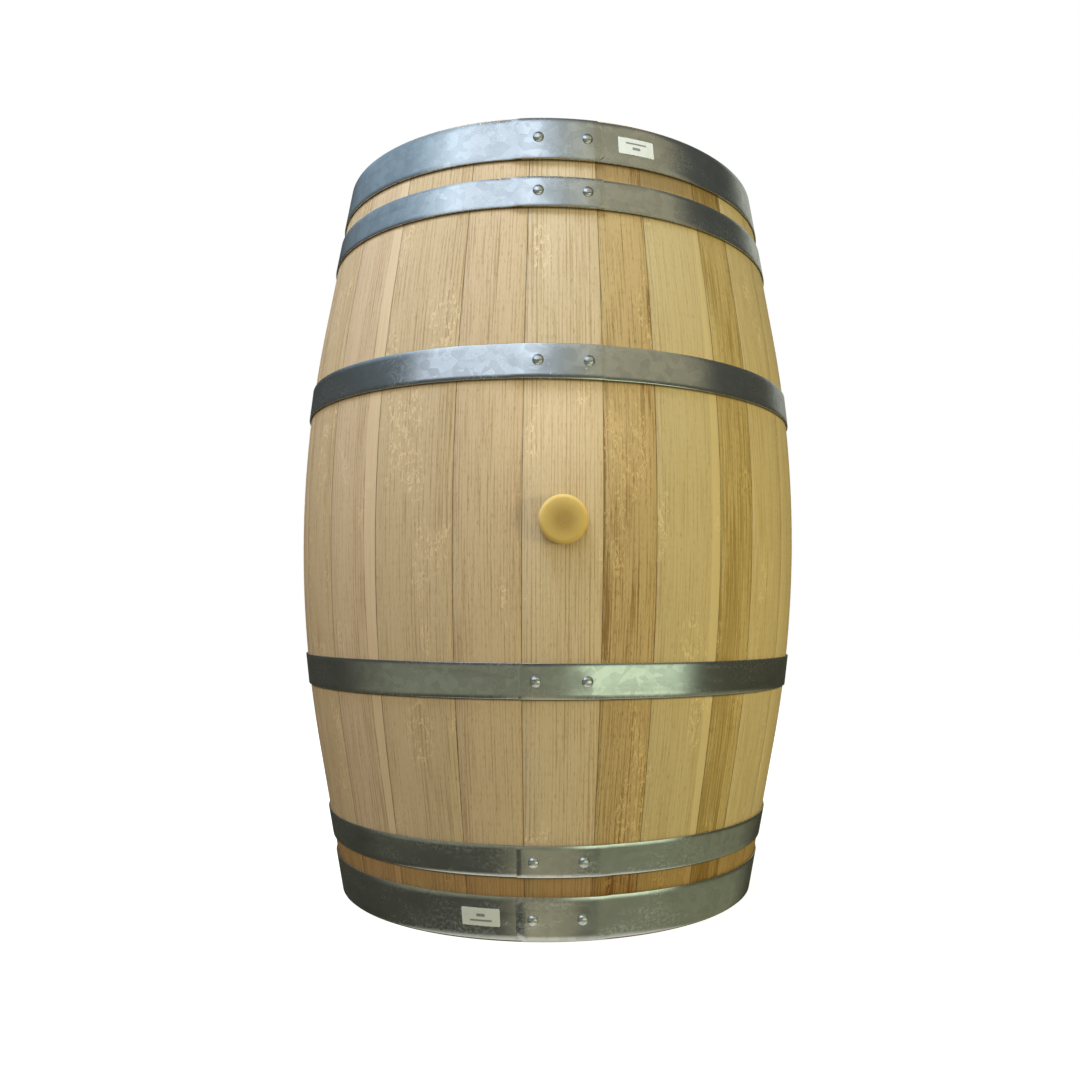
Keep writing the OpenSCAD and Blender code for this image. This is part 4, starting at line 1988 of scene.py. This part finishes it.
@dataclass(frozen=True)
class Room:
    """The room round the barrel: dim, with windows, and white where the camera sees it."""

    above: Colour = (0.05, 0.055, 0.05)
    below: Colour = (0.045, 0.045, 0.03)
    backdrop: Colour = (1.0, 1.0, 1.0)
    panes: tuple[Pane, ...] = (
        Pane(-36, 40, 32, 19, 9, 3, (1.00, 1.14, 1.30)),
        Pane(-72, 52, 14, 16, 8, 4, (0.42, 0.52, 0.60)),
        Pane(-116, 52, 44, 24, 18, 9, (0.26, 0.38, 0.50)),
        Pane(-2, 44, 22, 20, 10, 6, (0.26, 0.30, 0.32)),
        Pane(40, 38, 34, 20, 8, 6, (0.38, 0.34, 0.20)),
        Pane(152, 26, 20, 14, 12, 8, (0.46, 0.47, 0.40)),
        Pane(37, -11, 26, 11, 7, 3, (0.86, 1.05, 0.72)),
        Pane(-24, -14, 66, 10, 26, 5, (0.22, 0.23, 0.15)),
        Pane(-4, -40, 17, 14, 7, 5, (0.32, 0.29, 0.17)),
        Pane(80, -32, 56, 14, 14, 6, (0.18, 0.19, 0.11)),
        Pane(0, -75, 200, 29, 10, 4, (0.70, 0.70, 0.60)),
    )

    def build(self) -> None:
        """Makes the world."""
        bench = RoomBench("room")
        x, y, z = bench.split(bench.put("TexCoord").outputs["Generated"])
        per_degree = 180 / math.pi
        bearing = bench.math("MULTIPLY", bench.math("ARCTAN2", x, bench.math("MULTIPLY", y, -1.0)),
                             per_degree)
        elevation = bench.math("MULTIPLY", bench.math("ARCSINE", z), per_degree)
        colour = bench.blend(bench.ease(elevation, -12, 25), self.below, self.above)
        for pane in self.panes:
            inside = bench.math("MULTIPLY",
                                self.edge(bench, bearing, pane.bearing, pane.half_w, pane.soft_w),
                                self.edge(bench, elevation, pane.elevation, pane.half_h,
                                          pane.soft_h))
            colour = bench.blend(inside, colour, pane.colour, mode="ADD")
        seen = bench.put("LightPath").outputs["Is Camera Ray"]
        bench.feed(bench.shader.inputs["Color"], bench.blend(seen, colour, self.backdrop))

    @staticmethod
    def edge(bench: RoomBench, angle: Socket, middle: float, half: float, soft: float) -> Socket:
        """Eases from 1 inside a span of angles to 0 outside it.

        Args:
            bench: the world's node bench.
            angle: the angle.
            middle: the middle of the span.
            half: half the span.
            soft: half the width of its soft edge.

        Returns:
            How far inside the angle is.
        """
        off = bench.math("ABSOLUTE", bench.math("SUBTRACT", angle, middle))
        return bench.ease(off, half - soft, half + soft, 1.0, 0.0)


@dataclass
class Studio:
    """Pale floor, soft lights and a camera close in front of the barrel."""

    lights: tuple[SoftLight, ...] = (
        SoftLight("skylight", -40, 66, 1.5, (0.7, 0.5), 38, (0.66, 0.81, 1.0), (0, -0.2, 0.8)),
        SoftLight("left_wall", -72, 12, 2.0, (1.2, 0.6), 8, (1.0, 0.86, 0.64), (0, 0, 0.6)),
        SoftLight("front", -8, 22, 2.2, (1.8, 1.0), 5, (1.0, 0.82, 0.25)),
        SoftLight("window_patch", 4, 12, 1.6, (0.09, 0.09), 0.015, (0.88, 1.0, 0.92),
                  (0.0, -0.341, 0.575), spread=7),
        SoftLight("garden", 52, -1, 1.7, (0.16, 0.16), 9.5, (1.0, 0.89, 0.44)),
        SoftLight("behind", 178, 40, 2.4, (1.4, 1.2), 30, (1.0, 0.98, 0.95)),
    )
    floor_size: float = 14.0
    floor_gap: float = 0.0003
    bearing: float = -2.4
    distance: float = 1.3738
    eye_h: float = 0.3708
    aim: float = 1.855
    pitch: float = 1.74
    roll: float = 0.33
    lens: float = 31.73
    sensor: float = 36.0
    shift: tuple[float, float] = (-0.0373, 0.0432)

    def camera(self) -> None:
        """Sets up the camera: it stands at the bearing, and is aimed a little past the axis."""
        data = bpy.data.cameras.new("camera")
        data.sensor_width = self.sensor
        data.lens = self.lens
        data.shift_x, data.shift_y = self.shift
        camera = bpy.data.objects.new("camera", data)
        camera.location = bearing_vector(self.bearing, 0) * self.distance
        camera.location.z = self.eye_h
        forward = -bearing_vector(self.bearing - self.aim, 0)
        forward.z = math.tan(math.radians(self.pitch))
        camera.rotation_mode = "QUATERNION"
        level = forward.to_track_quat("-Z", "Y")
        camera.rotation_quaternion = level @ Quaternion((0, 0, 1), math.radians(self.roll))
        bpy.context.scene.collection.objects.link(camera)
        bpy.context.scene.camera = camera

    def floor(self) -> None:
        """Lays a plain pale floor, which throws no light back on the barrel."""
        blank = Blank()
        half = self.floor_size / 2
        made = bmesh.ops.create_grid(blank.bm, x_segments=2, y_segments=2, size=half)["verts"]
        bmesh.ops.translate(blank.bm, vec=(0, 0, -self.floor_gap), verts=made)
        bench = NodeBench("pale_floor")
        cloud = bench.noise(bench.stretch(bench.place(), (2, 2, 2)), detail=3.0)
        colour = bench.blend(cloud, (0.42, 0.42, 0.415), (0.46, 0.46, 0.455))
        finish = bench.finish(colour, 0.9, Specular_IOR_Level=0.0, Emission_Strength=1.0,
                              Emission_Color=(0.88, 0.88, 0.88))
        floor = blank.to_piece("floor", (finish,))
        floor.visible_diffuse = False
        floor.visible_glossy = False

    def build(self) -> None:
        """Sets up the whole studio."""
        bpy.context.scene.view_settings.view_transform = "Standard"
        Room().build()
        self.floor()
        for light in self.lights:
            light.build()
        self.camera()
        LOG.info("studio: %d lights", len(self.lights))


# ------------------------------------------------------------------ the barrel


def main() -> None:
    """Builds the barrel, piece by piece, and then the studio round it."""
    logging.basicConfig(level=logging.INFO, format="%(name)s: %(message)s")
    low, high = CAD_BOX
    curve = BarrelCurve(length=high.z, bilge_r=high.y)
    chime = Chime(curve)
    StaveRow(chime).build()
    for end in ("top", "bottom"):
        Head(end, chime).build()
    InnerWork().build()
    HoopSet(curve).build()
    Bung(BungStave("bung_stave", chime, 0)).make()
    Studio().build()


if __name__ == "__main__":
    main()
